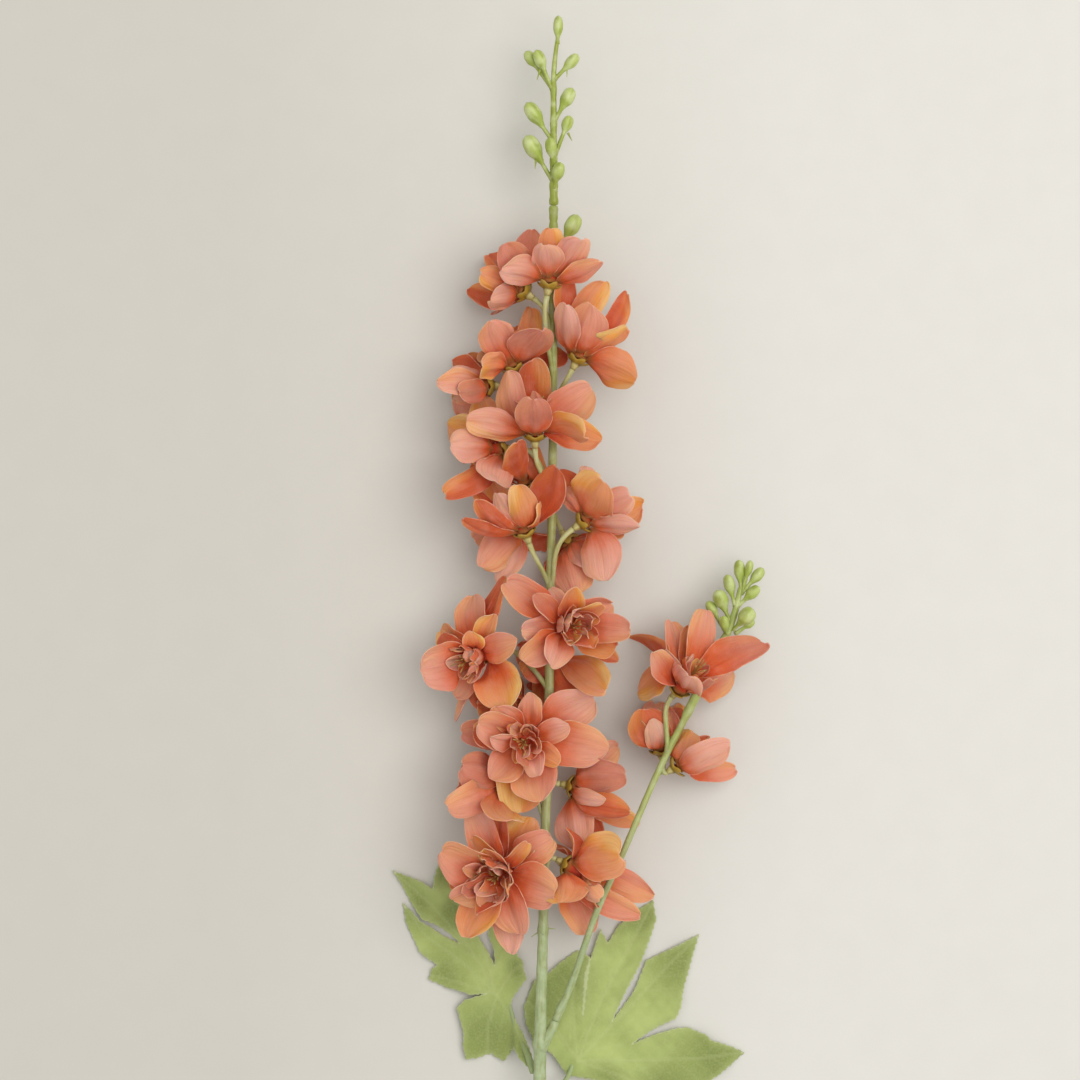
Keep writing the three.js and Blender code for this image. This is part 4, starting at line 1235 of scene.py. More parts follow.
def add_tube(piece: Piece, points: Array, radii: Array, dye: Array, sides: int) -> None:
    """Add a round stalk with closed, slightly pointed ends to a piece.

    Args:
        piece: what it becomes part of.
        points: its middle line.
        radii: its radius at each point.
        dye: its colour at each point.
        sides: points round it.
    """
    along = unit(np.gradient(points, axis=0))
    across = unit(np.cross(along[0], ASKEW))
    rings, rounds = [], []
    turns = np.arange(sides) * 2 * math.pi / sides
    for k, point in enumerate(points):
        across = unit(across - along[k] * np.dot(across, along[k]))
        second = np.cross(along[k], across)
        ring = np.cos(turns)[:, None] * across + np.sin(turns)[:, None] * second
        rings.append(point + ring * radii[k])
        rounds.append(np.stack([np.cos(turns), np.sin(turns)], axis=1).sum(axis=1))
    faces = [face[::-1] for face in grid_faces(len(points), sides, closed=True)]
    steps = np.linalg.norm(np.diff(points, axis=0, prepend=points[:1]), axis=1).cumsum()
    caps = np.array([points[0] - along[0] * radii[0] * 0.3, points[-1] + along[-1] * radii[-1] * 0.3])
    piece.add(
        np.concatenate([*rings, caps]), faces + cap_faces(len(points), sides),
        dye=np.concatenate([np.repeat(dye, sides, axis=0), dye[[0, -1]]]),
        along=np.concatenate([np.repeat(steps, sides), [0.0, steps[-1]]]),
        round=np.concatenate([*rounds, [0.0, 0.0]]),
    )


def add_turned(piece: Piece, at: Array, axis: Array, profile: Array, dye: Array, sides: int = 18,
               lobes: int = 0, lobe_depth: Array | float = 0.0, lobe_rise: Array | float = 0.0) -> None:
    """Add a turned body to a piece.

    Args:
        piece: what it becomes part of.
        at: its foot.
        axis: the direction it grows in.
        profile: rows of radius and height.
        dye: its colour at each row.
        sides: points round it.
        lobes: ridges round it.
        lobe_depth: how far the ridges stand out, as a share of the radius, for all rows or each.
        lobe_rise: how far the ridges rise along the axis in mm, for all rows or each.
    """
    across = unit(np.cross(axis, ASKEW))
    second = np.cross(axis, across)
    turns = np.arange(sides) * 2 * math.pi / sides
    ring = np.cos(turns)[:, None] * across + np.sin(turns)[:, None] * second
    wave = np.cos(turns * lobes)[:, None]
    depths, rises = (np.broadcast_to(one, len(profile)) for one in (lobe_depth, lobe_rise))
    rows = [at + axis * (height + rise * wave) + ring * radius * (1 + depth * wave)
            for (radius, height), depth, rise in zip(profile, depths, rises)]
    faces = [face[::-1] for face in grid_faces(len(rows), sides, closed=True)]
    caps = np.array([at + axis * profile[0][1], at + axis * profile[-1][1]])
    piece.add(
        np.concatenate(rows + [caps]), faces + cap_faces(len(rows), sides),
        dye=np.concatenate([np.repeat(dye, sides, axis=0), dye[[0, -1]]]),
        along=np.concatenate([np.repeat(profile[:, 1], sides), profile[[0, -1], 1]]),
        round=np.concatenate([np.tile(np.cos(turns) + np.sin(turns), len(rows)), [0.0, 0.0]]),
    )


# ------------------------------------------------------------------ florets


@dataclass(frozen=True)
class Ring:
    """Petals that are set by rule round a floret's axis.

    Attributes:
        opening: their angle from the axis in degrees.
        length: from the collar to the tip.
        width: at the broadest.
        cup: depth of the bowl, as a share of half the width.
        cut: how they are cut.
        tints: letters of their dyes, taken in turn.
    """

    opening: float
    length: float
    width: float
    cup: float
    cut: Cut
    tints: str


@dataclass(frozen=True)
class Crumple:
    """The small folded petals that fill a floret's heart.

    Attributes:
        open_count, shut_count: how many an open floret has, and one that is seen from the side.
        open_rise: the rise of a floret's axis from which it counts as open.
        depth, step: how far below the collar's top they stand, and how far apart the two rings are.
        radius, radius_step: of the inner ring, and how much wider the outer ring is.
        lean, upright: how far those of the inner and of the outer ring lean, in degrees.
        more_lean, swing: what a lean may gain, and how far it may turn, in degrees.
        length, more_length: their least length, and what it may gain.
        width, more_width: their least width, and what it may gain.
        roll: how far they may turn about their spines, in degrees.
        cup: depth of the bowl.
        root_turn: half of the turn that their roots take up, in degrees.
        tints: letters of their dyes, taken in turn, mostly the dark brick and dusky ones, partly as painted
            shade deep in the heart.
    """

    open_count: int = 8
    shut_count: int = 5
    open_rise: float = 25.0
    depth: float = 1.6
    step: float = 0.9
    radius: float = 1.7
    radius_step: float = 1.2
    lean: float = 30.0
    upright: float = 14.0
    more_lean: float = 22.0
    swing: float = 70.0
    length: float = 7.0
    more_length: float = 4.5
    width: float = 5.0
    more_width: float = 2.2
    roll: float = 50.0
    cup: float = 0.5
    root_turn: float = 24.0
    # mostly dark tints: painted shade deep in the heart, with the dye
    tints: str = "bdbsbdop"


@dataclass(frozen=True)
class Stamens:
    """The threads that stand on a floret's pin.

    Attributes:
        count: how many.
        above: how far over the collar they start.
        apart: how far from the axis they start.
        lean, more_lean: how far they lean out as a share of their length, and what that may gain.
        length, more_length: their least length, and what it may gain.
        radii: along the thread and over its head.
        stalk, head: their colours.
        sides: points round a thread.
    """

    count: int = 11
    above: float = 0.8
    apart: float = 0.45
    lean: float = 0.1
    more_lean: float = 0.42
    length: float = 5.0
    more_length: float = 4.2
    radii: tuple[float, ...] = (0.2, 0.18, 0.16, 0.15, 0.17, 0.3, 0.2)
    stalk: Colour = (0.50, 0.20, 0.05)
    head: Colour = (0.55, 0.36, 0.12)
    sides: int = 7


NO_TURN = (0.3, 0.2, 0.9)  # turns round a floret's axis are counted from a direction square to this one
SCOOPS = Ring(34, 14, 7.5, 0.35, Cut.SLIM, "dsp")
FAR_PETALS = Ring(68, 23, 16, 0.2, Cut.BACK, "bs")
FAR_TURN = 62  # between two petals on the far side, in degrees
SHOWN_CUP = 0.22  # depth of the bowl of a petal that shows
CALYX_SIDES = 30
CALYX_LOBES = 5
CRUMPLE = Crumple()
STAMENS = Stamens()


@dataclass
class Floret:
    """A double floret: its petals on their collar, and its calyx, pin and stamens.

    Attributes:
        name: as in the solids.
        at: foot of its collar on the sheet.
        face: its axis as turn and rise.
        foot: row of the stem at which its stalk leaves.
        petals: tip column, tip row, length, width and roll of each petal that shows.
        tints: a letter for each of them.
        scoops: small inner petals.
        back: outer petals on the far side.
        branch: whether it is on the side branch.
        heart: how full its heart is of crumpled petals.
        number: its place in the list.
    """

    name: str
    at: tuple[float, float, float]
    face: tuple[float, float]
    foot: float
    petals: list[tuple[float, float, float, float, float]]
    tints: str
    scoops: int = 3
    back: int = 2
    branch: bool = False
    heart: float = 1.0
    number: int = 0

    def __post_init__(self) -> None:
        """Work out the floret's own directions."""
        self.point = place(*self.at)
        self.axis = direction(*self.face)
        self.first = unit(np.cross(NO_TURN, self.axis))

    def collar_point(self, turn: float, radius: float, height: float) -> Array:
        """Give a place of the collar by its turn in degrees, its radius and its height."""
        return self.point + self.axis * height + rotated(self.first, self.axis, turn) * radius

    def shown_petal(self, k: int) -> Petal:
        """Make a petal whose tip is given on the sheet.

        Args:
            k: its place in the floret's list.

        Returns:
            The petal, not yet on the collar.
        """
        column, row, length, width, roll = self.petals[k]
        start = self.point + self.axis * COLLAR_HEIGHT / 3
        flat = place(column, row, start[2] - AXIS_HEIGHT)
        across = math.hypot(flat[0] - start[0], flat[1] - start[1])
        height = math.copysign(math.sqrt(max(0.0, length * length - across * across)), length)
        tip = place(column, row, start[2] - AXIS_HEIGHT + height)
        turned = FACE_TURN * (1 - abs(self.axis[2])) * (1 if length < 0 else -1)
        inwards = self.axis + np.array([0, 0, turned])
        return Petal(tip, inwards, width * FULLNESS, roll, SHOWN_CUP, Cut.BROAD, Tint(self.tints[k]),
                     self.number * 31 + k)

    def ring_petals(self, ring: Ring, count: int, start: float, spread: float) -> list[Petal]:
        """Make petals set by rule round the axis.

        Args:
            ring: their form.
            count: how many.
            start: turn of their middle from the far side, in degrees.
            spread: angle between them in degrees.

        Returns:
            The petals, not yet on the collar.
        """
        away = np.array([0.0, 0.0, -1.0])
        first = unit(away - self.axis * np.dot(away, self.axis))
        begin = self.point + self.axis * COLLAR_HEIGHT / 3
        made = []
        for k in range(count):
            angle = start + spread * (k - (count - 1) / 2)
            angle += TURN_PLAY * (pick(self.number, k + ring.opening) - 0.5)
            out = rotated(first, self.axis, angle)
            lean = math.radians(ring.opening + LEAN_PLAY * (pick(self.number, k + 31) - 0.5))
            way = self.axis * math.cos(lean) + out * math.sin(lean)
            tip = begin + way * ring.length * (0.9 + 0.2 * pick(self.number, k + 53))
            tint = Tint(ring.tints[k % len(ring.tints)])
            made.append(Petal(tip, self.axis, ring.width, 0.0, ring.cup, ring.cut, tint,
                              self.number * 31 + 17 + k + ring.opening / 7))
        return made

    def set_petals(self) -> list[Petal]:
        """Set all petals on the collar, the widest open on the lowest level.

        Returns:
            The petals that found a level.
        """
        petals = [self.shown_petal(k) for k in range(len(self.petals))]
        petals += self.ring_petals(SCOOPS, self.scoops, 40 * self.number, 360 / self.scoops)
        petals += self.ring_petals(FAR_PETALS, self.back, 0, FAR_TURN)
        second = np.cross(self.axis, self.first)
        for petal in petals:
            way = petal.tip - self.point
            petal.turn = math.degrees(math.atan2(np.dot(way, second), np.dot(way, self.first))) % 360
            petal.axis = self.axis
        opening = {id(petal): math.acos(np.dot(unit(petal.tip - self.point), self.axis)) for petal in petals}
        set_ones: list[Petal] = []
        for petal in sorted(petals, key=lambda one: -opening[id(one)]):
            near = [other.level for other in set_ones
                    if 180 - abs(180 - abs(petal.turn - other.turn)) < NEIGHBOUR_TURN]
            petal.level = max([-1, *near]) + 1
            if petal.level >= LEVELS:
                continue
            height = FIRST_LEVEL + LEVEL_STEP * petal.level
            radius = COLLAR_RADIUS - COLLAR_TAPER * height
            petal.root = self.collar_point(petal.turn, radius, height)
            petal.out = unit(petal.root - self.collar_point(0, 0, height))
            petal.corners = np.array([self.collar_point(petal.turn + end, radius, height)
                                      for end in (-ROOT_TURN, ROOT_TURN)])
            set_ones.append(petal)
        return set_ones

    def crumpled_petals(self) -> list[Petal]:
        """Make the small folded petals that fill the heart of the double floret.

        Returns:
            The petals, on the collar's top.
        """
        form = CRUMPLE
        count = int((form.open_count if self.face[1] > form.open_rise else form.shut_count) * self.heart)
        made = []
        for k in range(count):
            sort = self.number * 31 + 400 + k
            turn = 360 * (k + 0.7 * pick(sort, 1)) / count
            height = COLLAR_HEIGHT - form.depth + form.step * (k % 2)
            radius = form.radius + form.radius_step * (k % 2)
            root = self.collar_point(turn, radius, height)
            out = unit(root - self.collar_point(0, 0, height))
            lean = math.radians((form.upright if k % 2 else form.lean) + form.more_lean * pick(sort, 2))
            swing = rotated(out, self.axis, form.swing * (pick(sort, 3) - 0.5))
            reach = (form.length + form.more_length * pick(sort, 4)) * (0.5 + 0.5 * self.heart)
            tip = root + (self.axis * math.cos(lean) + swing * math.sin(lean)) * reach
            width = (form.width + form.more_width * pick(sort, 5)) * self.heart ** 0.6
            petal = Petal(tip, self.axis, width, form.roll * (pick(sort, 6) - 0.5), form.cup, Cut.SLIM,
                          Tint(form.tints[k % len(form.tints)]), sort, self.axis, root, out)
            petal.corners = np.array([self.collar_point(turn + end, radius, height)
                                      for end in (-form.root_turn, form.root_turn)])
            made.append(petal)
        return made

    def settled(self, petal: Petal, solid: KDTree) -> Petal | None:
        """Find the move by which the solid petal settled.

        Args:
            petal: the petal at its first place.
            solid: the solid bloom's corners.

        Returns:
            The moved petal, or None if there is no such solid petal.
        """
        for move in SETTLING:
            trial = petal.moved(move)
            gaps = [solid.find(Vector((point + OFFSET) * MM))[2] / MM for point in trial.solid_points()]
            if all(abs(gap - PETAL_THICKNESS / 2) < MATCH for gap in gaps):
                return trial
        return None

    def build_bloom(self, cloth: bpy.types.Material) -> bpy.types.Object:
        """Make the petals on their collar in one piece.

        Args:
            cloth: the petals' material.

        Returns:
            The bloom.
        """
        node = f"bloom_{self.name}"
        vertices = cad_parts[node].data.vertices
        solid = KDTree(len(vertices))
        for k, vertex in enumerate(vertices):
            solid.insert(vertex.co, k)
        solid.balance()
        piece = Piece(f"{node}_silk")
        found = 0
        petals = self.set_petals()
        for petal in petals:
            placed = self.settled(petal, solid)
            if placed is not None:
                placed.add_to(piece)
                found += 1
        for petal in self.crumpled_petals():
            petal.add_to(piece)
        log.info("%s: %d of %d petals", node, found, len(petals))
        self.add_collar(piece)
        return piece.finish([node], cloth)

    def add_collar(self, piece: Piece) -> None:
        """Add the cone that the petals' roots are gathered on.

        Args:
            piece: the bloom.
        """
        heights = np.linspace(0.2, COLLAR_HEIGHT - 0.4, 8)
        radii = COLLAR_RADIUS - COLLAR_TAPER * heights - 0.35
        radii[-1] = 1.6
        profile = np.stack([radii, heights], axis=1)
        gathered = Piece("collar")
        # painted shade with the dye: dark red inside the collar, over its olive root
        dye = mixed(ROOT_OLIVE, THROAT_DYE_AND_SHADE, smooth(1.0, 3.0, heights))
        add_turned(gathered, self.point, self.axis, profile, dye, 20)
        points = gathered.points[0]
        piece.add(
            points, gathered.faces, dye=gathered.values["dye"][0], across=gathered.values["round"][0],
            along=gathered.values["along"][0], edge=np.full(len(points), WIDE_EDGE),
            sort=np.zeros(len(points)),
        )

    def build_heart(self, plastic: bpy.types.Material) -> bpy.types.Object:
        """Make the calyx, the pin and the stamens in one piece.

        Args:
            plastic: their material.

        Returns:
            The heart.
        """
        piece = Piece(f"heart_{self.name}_fine")
        base = -CALYX_HEIGHT - CLEARANCE
        rows = [
            (PEDICEL_RADIUS + 0.1, base, 0, 0, CALYX_STALK),
            (PEDICEL_RADIUS + 0.25, base + 1.0, 0, 0, CALYX_STALK),
            (PEDICEL_RADIUS + 0.7, base + 2.0, 0.05, 0, CALYX_STALK),
            (CALYX_RADIUS * 0.5, base + 2.9, 0.1, 0.1, CALYX_OLIVE),
            (CALYX_RADIUS * 0.86, base + 3.6, 0.16, 0.3, CALYX_GOLD),
            (CALYX_RADIUS * 1.12, base + 4.5, 0.2, 0.6, CALYX_GOLD),
            (CALYX_RADIUS * 1.18, base + 5.2, 0.2, 0.8, CALYX_GOLD),
            (CALYX_RADIUS * 1.06, base + 5.25, 0.2, 0.8, CALYX_OLIVE),
            (CALYX_RADIUS * 0.9, base + 4.5, 0.16, 0.5, CALYX_OLIVE),
            # the pin is the throat's dark red, partly painted shade
            (1.2, -CLEARANCE - 0.1, 0, 0, THROAT_DYE_AND_SHADE),
            (1.0, COLLAR_HEIGHT + 1.2, 0, 0, THROAT_DYE_AND_SHADE),
            (0.4, COLLAR_HEIGHT + 1.5, 0, 0, THROAT_DYE_AND_SHADE),
        ]
        profile = np.array([row[:2] for row in rows])
        depth, rise = (np.array([row[k] for row in rows]) for k in (2, 3))
        dyes = np.array([row[4] for row in rows])
        add_turned(piece, self.point, self.axis, profile, dyes, CALYX_SIDES, CALYX_LOBES, depth, rise)
        self.add_stamens(piece)
        return piece.finish([f"heart_{self.name}"], plastic)

    def add_stamens(self, piece: Piece) -> None:
        """Add the threads that stand on the pin.

        Args:
            piece: the heart.
        """
        form = STAMENS
        top = self.point + self.axis * (COLLAR_HEIGHT + form.above)
        t = np.linspace(0, 1, len(form.radii))[:, None]
        for k in range(form.count):
            out = rotated(self.first, self.axis, 360 * k / form.count + 20 * pick(self.number, k))
            lean = form.lean + form.more_lean * pick(self.number, k + 60)
            length = form.length + form.more_length * pick(self.number, k + 90)
            line = top + out * form.apart + self.axis * length * t + out * (lean * length * t ** 1.6)
            stalk = np.array(form.stalk) * (0.7 + 0.6 * pick(self.number, k + 20))
            head = np.array(form.head) * (0.6 + 0.6 * pick(self.number, k + 40))
            colours = np.array([mixed(stalk, head, float(s)) for s in smooth(0.7, 0.9, t.ravel())])
            add_tube(piece, line, np.array(form.radii), colours, form.sides)


# How full the hearts of some florets are of crumpled petals.
HEARTS = {"17": 2.3, "13": 1.35, "12": 1.3, "18": 1.6}

# Florets whose names end in b lie behind the stem; their petals are mostly brick, partly painted shade.
FLORETS = [
    Floret("14", (529, 738, 5), (200, 80), 775, [
        (590, 702, 30, 18, 0), (602, 750, 31, 19, 0), (541, 797, 28, 20, 0), (522, 810, -32, 20, 0),
        (480, 723, 25, 15, 0), (463, 734, -30, 12, 0), (496, 708, 22, 11, 0), (530, 697, 20, 10, 0),
        (567, 727, 20, 10, 0), (493, 742, 18, 9, 0), (557, 762, 18, 9, 0), (519, 766, 17, 8, 0),
        (536, 773, 21, 10, 0),
    ], "pssosdssppodp", 5, 2),
    Floret("13", (560, 626, 9), (0, 62), 668, [
        (507, 583, -29, 14, 0), (537, 596, 21, 9, 0), (552, 590, -22, 9, 0), (573, 589, 21, 11, 0),
        (601, 605, 24, 8, 0), (630, 632, 32, 12, 0), (524, 630, 19, 12, 0), (552, 665, 20, 14, 0),
        (614, 659, -29, 9, 40), (592, 645, 20, 12, 0), (526, 661, 24, 13, 0),
    ], "sdpoosppbbs", 4, 2),
    Floret("17", (507, 870, 3), (200, 66), 905, [
        (443, 852, 31, 19, 0), (474, 812, -30, 13, 0), (496, 806, -28, 9, 30), (474, 838, 20, 11, 0),
        (528, 820, 25, 17, 0), (551, 840, 27, 15, 0), (553, 893, 26, 20, 0), (518, 932, 29, 16, 0),
        (511, 947, -34, 14, 0), (470, 932, 30, 16, 0), (455, 900, 27, 14, 0), (485, 905, 20, 12, 0),
        (527, 842, 19, 8, 45),
    ], "spboosssposso", 4, 1),
    Floret("12", (486, 652, 2), (200, 45), 690, [
        (423, 669, 30, 21, 20), (455, 715, -32, 11, 50), (506, 704, 28, 19, -60),
        (471, 597, -27, 17, 0), (443, 631, -24, 13, 0), (492, 617, 19, 9, 30), (504, 580, -33, 14, 0),
        (514, 643, 22, 12, 0), (472, 634, 15, 9, 50),
    ], "psosoobso", 4, 2),
    Floret("18", (567, 865, 6), (332, 6), 886, [
        (620, 855, 28, 20, 20), (561, 904, 23, 20, -50), (588, 930, -31, 18, 0), (649, 893, -37, 12, 0),
        (636, 916, -34, 11, 0), (552, 847, -15, 11, 0), (568, 828, -18, 9, 30),
    ], "oosssbb", 2, 2),
    Floret("07", (535, 436, 9), (90, 2), 498, [
        (533, 401, 22, 15, 0), (470, 422, 30, 13, 35), (584, 436, 24, 14, -30), (598, 440, -29, 14, 35),
        (499, 407, -25, 8, 40), (508, 376, 26, 14, 0), (534, 365, -30, 15, 0), (590, 392, 30, 20, -15),
    ], "dtoobsbs", 3, 1),
    Floret("10", (525, 532, 7), (110, 8), 590, [
        (488, 480, -28, 11, 0), (518, 487, 23, 12, 0), (556, 471, -29, 16, 0), (541, 505, 16, 10, 0),
        (466, 520, 28, 7, 50), (498, 495, 22, 9, 0), (476, 490, -26, 7, 0), (480, 504, 25, 8, 20),
    ], "oobobpbb", 3, 2),
    Floret("11", (583, 522, 6), (35, -5), 596, [
        (600, 484, 25, 22, 0), (588, 468, -24, 11, -20), (630, 496, 26, 13, 0), (638, 508, -28, 15, 0),
        (635, 526, 25, 11, 0), (605, 577, 27, 17, -40), (560, 473, -25, 9, -40), (563, 491, 18, 9, 0),
    ], "oppoppbs", 3, 2),
    Floret("03", (578, 359, 3), (62, -6), 408, [
        (590, 308, 26, 17, 0), (564, 310, 23, 12, 0), (564, 277, -33, 12, 0), (602, 285, 31, 12, 0),
        (626, 297, -29, 9, 50), (626, 329, 26, 13, 0), (630, 380, 27, 18, -15),
    ], "spboboo", 3, 2),
    Floret("01", (524, 292, 1), (145, -12), 340, [
        (508, 247, 25, 15, 0), (492, 299, 17, 13, 0), (473, 290, -26, 12, 0), (483, 275, 22, 10, 0),
        (491, 257, -27, 11, 0), (531, 231, -29, 12, 40),
    ], "dpbobd", 3, 2),
    Floret("02", (549, 284, 8), (80, -8), 384, [
        (504, 269, 24, 13, 35), (545, 245, 20, 13, 0), (551, 229, 25, 11, 0), (581, 239, 26, 13, 0),
        (598, 262, 26, 9, 0),
    ], "ppops", 3, 2),
    Floret("04", (514, 368, 3), (108, -8), 420, [
        (492, 323, 25, 15, 0), (482, 366, 18, 13, 30), (540, 331, 24, 19, 0), (515, 325, -21, 9, 0),
        (531, 309, -27, 10, 20), (563, 350, -26, 14, 40),
    ], "sodbob", 3, 2),
    Floret("05", (489, 386, -3), (180, 0), 430, [
        (441, 383, 24, 12, 10), (455, 363, -22, 11, 0), (473, 404, -19, 13, 0), (462, 393, 16, 10, 0),
    ], "tbsd", 3, 2),
    Floret("08", (502, 450, 1), (188, 5), 496, [
        (482, 399, -26, 13, 30), (451, 424, -28, 16, 0), (453, 444, 24, 14, 0), (448, 494, 33, 11, 30),
        (495, 484, 23, 16, 40), (474, 474, -22, 13, 0),
    ], "oopbps", 3, 2),
    Floret("09", (526, 484, -5), (110, 8), 522, [
        (509, 446, 22, 12, 20), (537, 445, 22, 12, 20),
    ], "bb", 3, 1),
    Floret("10b", (523, 526, -13), (235, -12), 500, [
        (484, 565, 27, 15, 0), (500, 577, 27, 11, 30), (540, 550, -20, 13, -40),
        (475, 538, -20, 13, 30),
    ], "spbs", 2, 2),
    Floret("11b", (567, 540, -13), (300, -12), 512, [
        (577, 590, 26, 18, 0), (557, 588, -25, 13, 0), (598, 574, 25, 13, 0),
    ], "sbp", 2, 2),
    Floret("13b", (552, 658, -12), (290, -10), 622, [
        (577, 706, 27, 18, 0), (604, 686, 28, 16, 0), (549, 702, -22, 15, 0), (519, 650, -22, 13, 80),
        (524, 674, 20, 12, -40),
    ], "bobbb", 2, 2),
    Floret("15b", (522, 712, -11), (160, -8), 738, [
        (474, 690, 25, 13, 0), (480, 706, 21, 13, 0), (504, 684, -20, 13, 0), (484, 722, -22, 13, 0),
    ], "bbbs", 2, 2),
    Floret("15", (504, 785, -3), (195, 8), 822, [
        (466, 765, 23, 16, 0), (452, 804, 27, 14, 0), (511, 814, 20, 18, 60), (462, 784, -22, 12, 0),
    ], "dsob", 3, 2),
    Floret("16", (572, 786, -3), (350, 8), 845, [
        (617, 750, -27, 14, 0), (623, 775, 25, 14, 20), (579, 845, 27, 17, -40), (626, 811, 27, 11, 0),
        (635, 822, -31, 10, 30), (599, 838, -27, 9, 40),
    ], "sdpbob", 3, 2),
    Floret("19", (679, 689, 5), (50, 35), 752, [
        (712, 617, -35, 13, 0), (673, 622, -32, 11, 0), (667, 648, 26, 11, 60), (653, 655, 26, 11, -60),
        (637, 640, -32, 8, 65), (738, 651, 31, 9, 60), (760, 643, -41, 14, 0), (740, 683, -28, 14, 0),
        (690, 676, 20, 15, 0), (641, 690, -24, 15, -30), (690, 630, -29, 10, 0), (720, 641, 28, 9, 0),
    ], "sspsbpdspooo", 4, 2, True),
    Floret("20", (661, 750, -9), (100, 2), 780, [
        (645, 712, 21, 17, 0), (656, 706, -24, 14, 0), (673, 709, -21, 13, 0), (680, 705, -25, 9, 0),
        (651, 719, 19, 10, 0),
    ], "bsbop", 2, 1, True),
    Floret("21", (677, 766, 0), (32, 2), 765, [
        (691, 733, 18, 20, 0), (725, 747, 25, 13, 0), (731, 768, -27, 9, 40), (706, 742, -20, 10, 0),
    ], "opsb", 2, 1, True),
]
for index, floret in enumerate(FLORETS):
    floret.number = index
    floret.heart = HEARTS.get(floret.name, 1.0)

# ------------------------------------------------------------------ stems and buds

MAIN_PATH = [
    [553.6, 206, 0], [553, 300, 0], [553, 420, 0], [551.7, 523, 0], [550, 610, 0], [548.5, 740, 0],
    [545, 840, 0], [542.8, 938, -1], [540.6, 1020, -4], [539.5, 1100, -9.5], [538, 1220, -17],
    [536, 1375, -23.6],
]
MAIN_RADII = [(0, 1.7), (0.12, 1.9), (0.3, 2.0), (0.5, 2.1), (0.64, 2.3), (0.75, 2.8), (0.84, 3.1), (1, 3.3)]
BRANCH_PATH = [
    [555.5, 1020, -5], [571, 985, -4], [597, 911, 5], [623, 853, 10], [640, 813, 8], [658, 772, 3],
    [684, 720, 3], [703.5, 680, 6],
]
BRANCH_RADII = [(0, 1.7), (0.3, 1.5), (0.6, 1.45), (0.86, 1.6), (0.9, 2.2), (1, 2.0)]
MAIN_TIP_PATH = [[553.8, 204.6, 0], [553.6, 160, 0], [553.6, 112, 0], [554, 70, 0], [557.5, 38, 0]]
MAIN_TIP_RADII = [(0, 1.8), (0.3, 1.6), (0.6, 1.3), (1, 0.9)]
BRANCH_TIP_PATH = [
    [704.7, 677.6, 6], [709, 669, 4.5], [717, 654, -3], [727, 634, -8], [735, 612, -8], [740.5, 588, -8],
]
BRANCH_TIP_RADII = [(0, 1.9), (0.4, 2.0), (0.7, 1.7), (1, 1.2)]
Spot = tuple[float, float, float]
Bud = tuple[Spot, Spot, float, float]
# Buds: foot of the stalk, the bud's middle, its length and its width.
MAIN_TIP_BUDS: list[Bud] = [
    ((557.5, 44, 0), (558, 27, 0), 10, 4.3),
    ((553, 92, 0), (540, 60, 2), 9.5, 5.2),
    ((553, 90, 0), (531, 59, -3), 8.5, 5),
    ((554, 80, 0), (571, 62, 0), 9, 5),
    ((554, 122, 0), (567, 98, 1), 10, 6),
    ((553, 142, 0), (534, 114, 0), 12, 6.6),
    ((554, 158, 0), (567, 124, -3), 8, 5),
    ((553, 182, 0), (533, 148, 1), 12.5, 7.4),
    ((554, 166, 1), (551, 148, 4), 9.5, 5),
    ((554, 188, 1), (558, 172, 4), 9, 5.4),
]
BRANCH_TIP_BUDS: list[Bud] = [
    ((741, 590, -8), (739.5, 571, -8), 10, 5),
    ((742, 592, -8), (748.5, 569, -6), 8, 3.6),
    ((741, 594, -8), (757, 575.5, -8), 8.5, 5),
    ((735, 606, -8), (729.5, 585, -7), 9.5, 5),
    ((738, 606, -8), (752, 593, -7), 8.5, 5),
    ((730, 622, -8), (721, 600, -7), 9.5, 6.6),
    ((733, 630, -8), (746, 616.5, -4), 9.5, 7.2),
    ((728, 636, -8), (712, 609, -9), 8, 4.6),
    ((728, 640, -8), (724.5, 624, -4), 8, 4.4),
    ((735, 634, -9), (749, 624, -11), 6, 3.6),
]
SIDE_BUD: Bud = ((553, 262, 0), (572, 226, 2), 11, 7)

# Colours down the stems: rows of the sheet, and the plastic's colour at each.
STEM_ROWS = [30, 210, 420, 640, 800, 938, 1080, 1375]
STEM_COLOURS = np.array([
    [0.32, 0.38, 0.06], [0.28, 0.33, 0.045], [0.31, 0.32, 0.075], [0.38, 0.36, 0.13], [0.39, 0.41, 0.17],
    [0.36, 0.44, 0.22], [0.36, 0.45, 0.24], [0.38, 0.45, 0.22],
])
BRANCH_GREEN = np.array([0.37, 0.43, 0.12])
BUD_GREEN = np.array([0.37, 0.46, 0.085])
BUD_PALE = np.array([0.52, 0.60, 0.20])
PEDICEL_PALE = np.array([0.54, 0.50, 0.22])
BRANCH_START, BRANCH_END = 30.0, 58.0  # mm to the right between which a stem's colour becomes the branch's


@dataclass(frozen=True)
class BudForm:
    """How a closed bud swells. Shares are of its length.

    Attributes:
        steps: rows of its profile.
        before: how far before its middle it starts.
        reach: how long it is from there.
        first: where its first row is.
        half: its greatest radius, as a share of its width.
        foot: its radius at the start, as a share of the greatest.
        belly: where it is widest.
        end_from, end_over, end_power: where its end starts to round, over how much, and how squarely.
        end_radius: of its last row in mm.
        stalk: radii of its stalk in mm.
        pale, paler: how much of the pale green shows, and what that may gain.
        lobes, lobe_depth: ridges round it, and how far they stand out.
    """

    steps: int = 15
    before: float = 0.6
    reach: float = 1.12
    first: float = 0.03
    half: float = 0.52
    foot: float = 0.36
    belly: float = 0.5
    end_from: float = 0.58
    end_over: float = 0.425
    end_power: float = 2.3
    end_radius: float = 0.25
    stalk: tuple[float, float, float] = (1.15, 1.0, 0.92)
    pale: float = 0.3
    paler: float = 0.5
    lobes: int = 3
    lobe_depth: float = 0.05


BUD = BudForm()


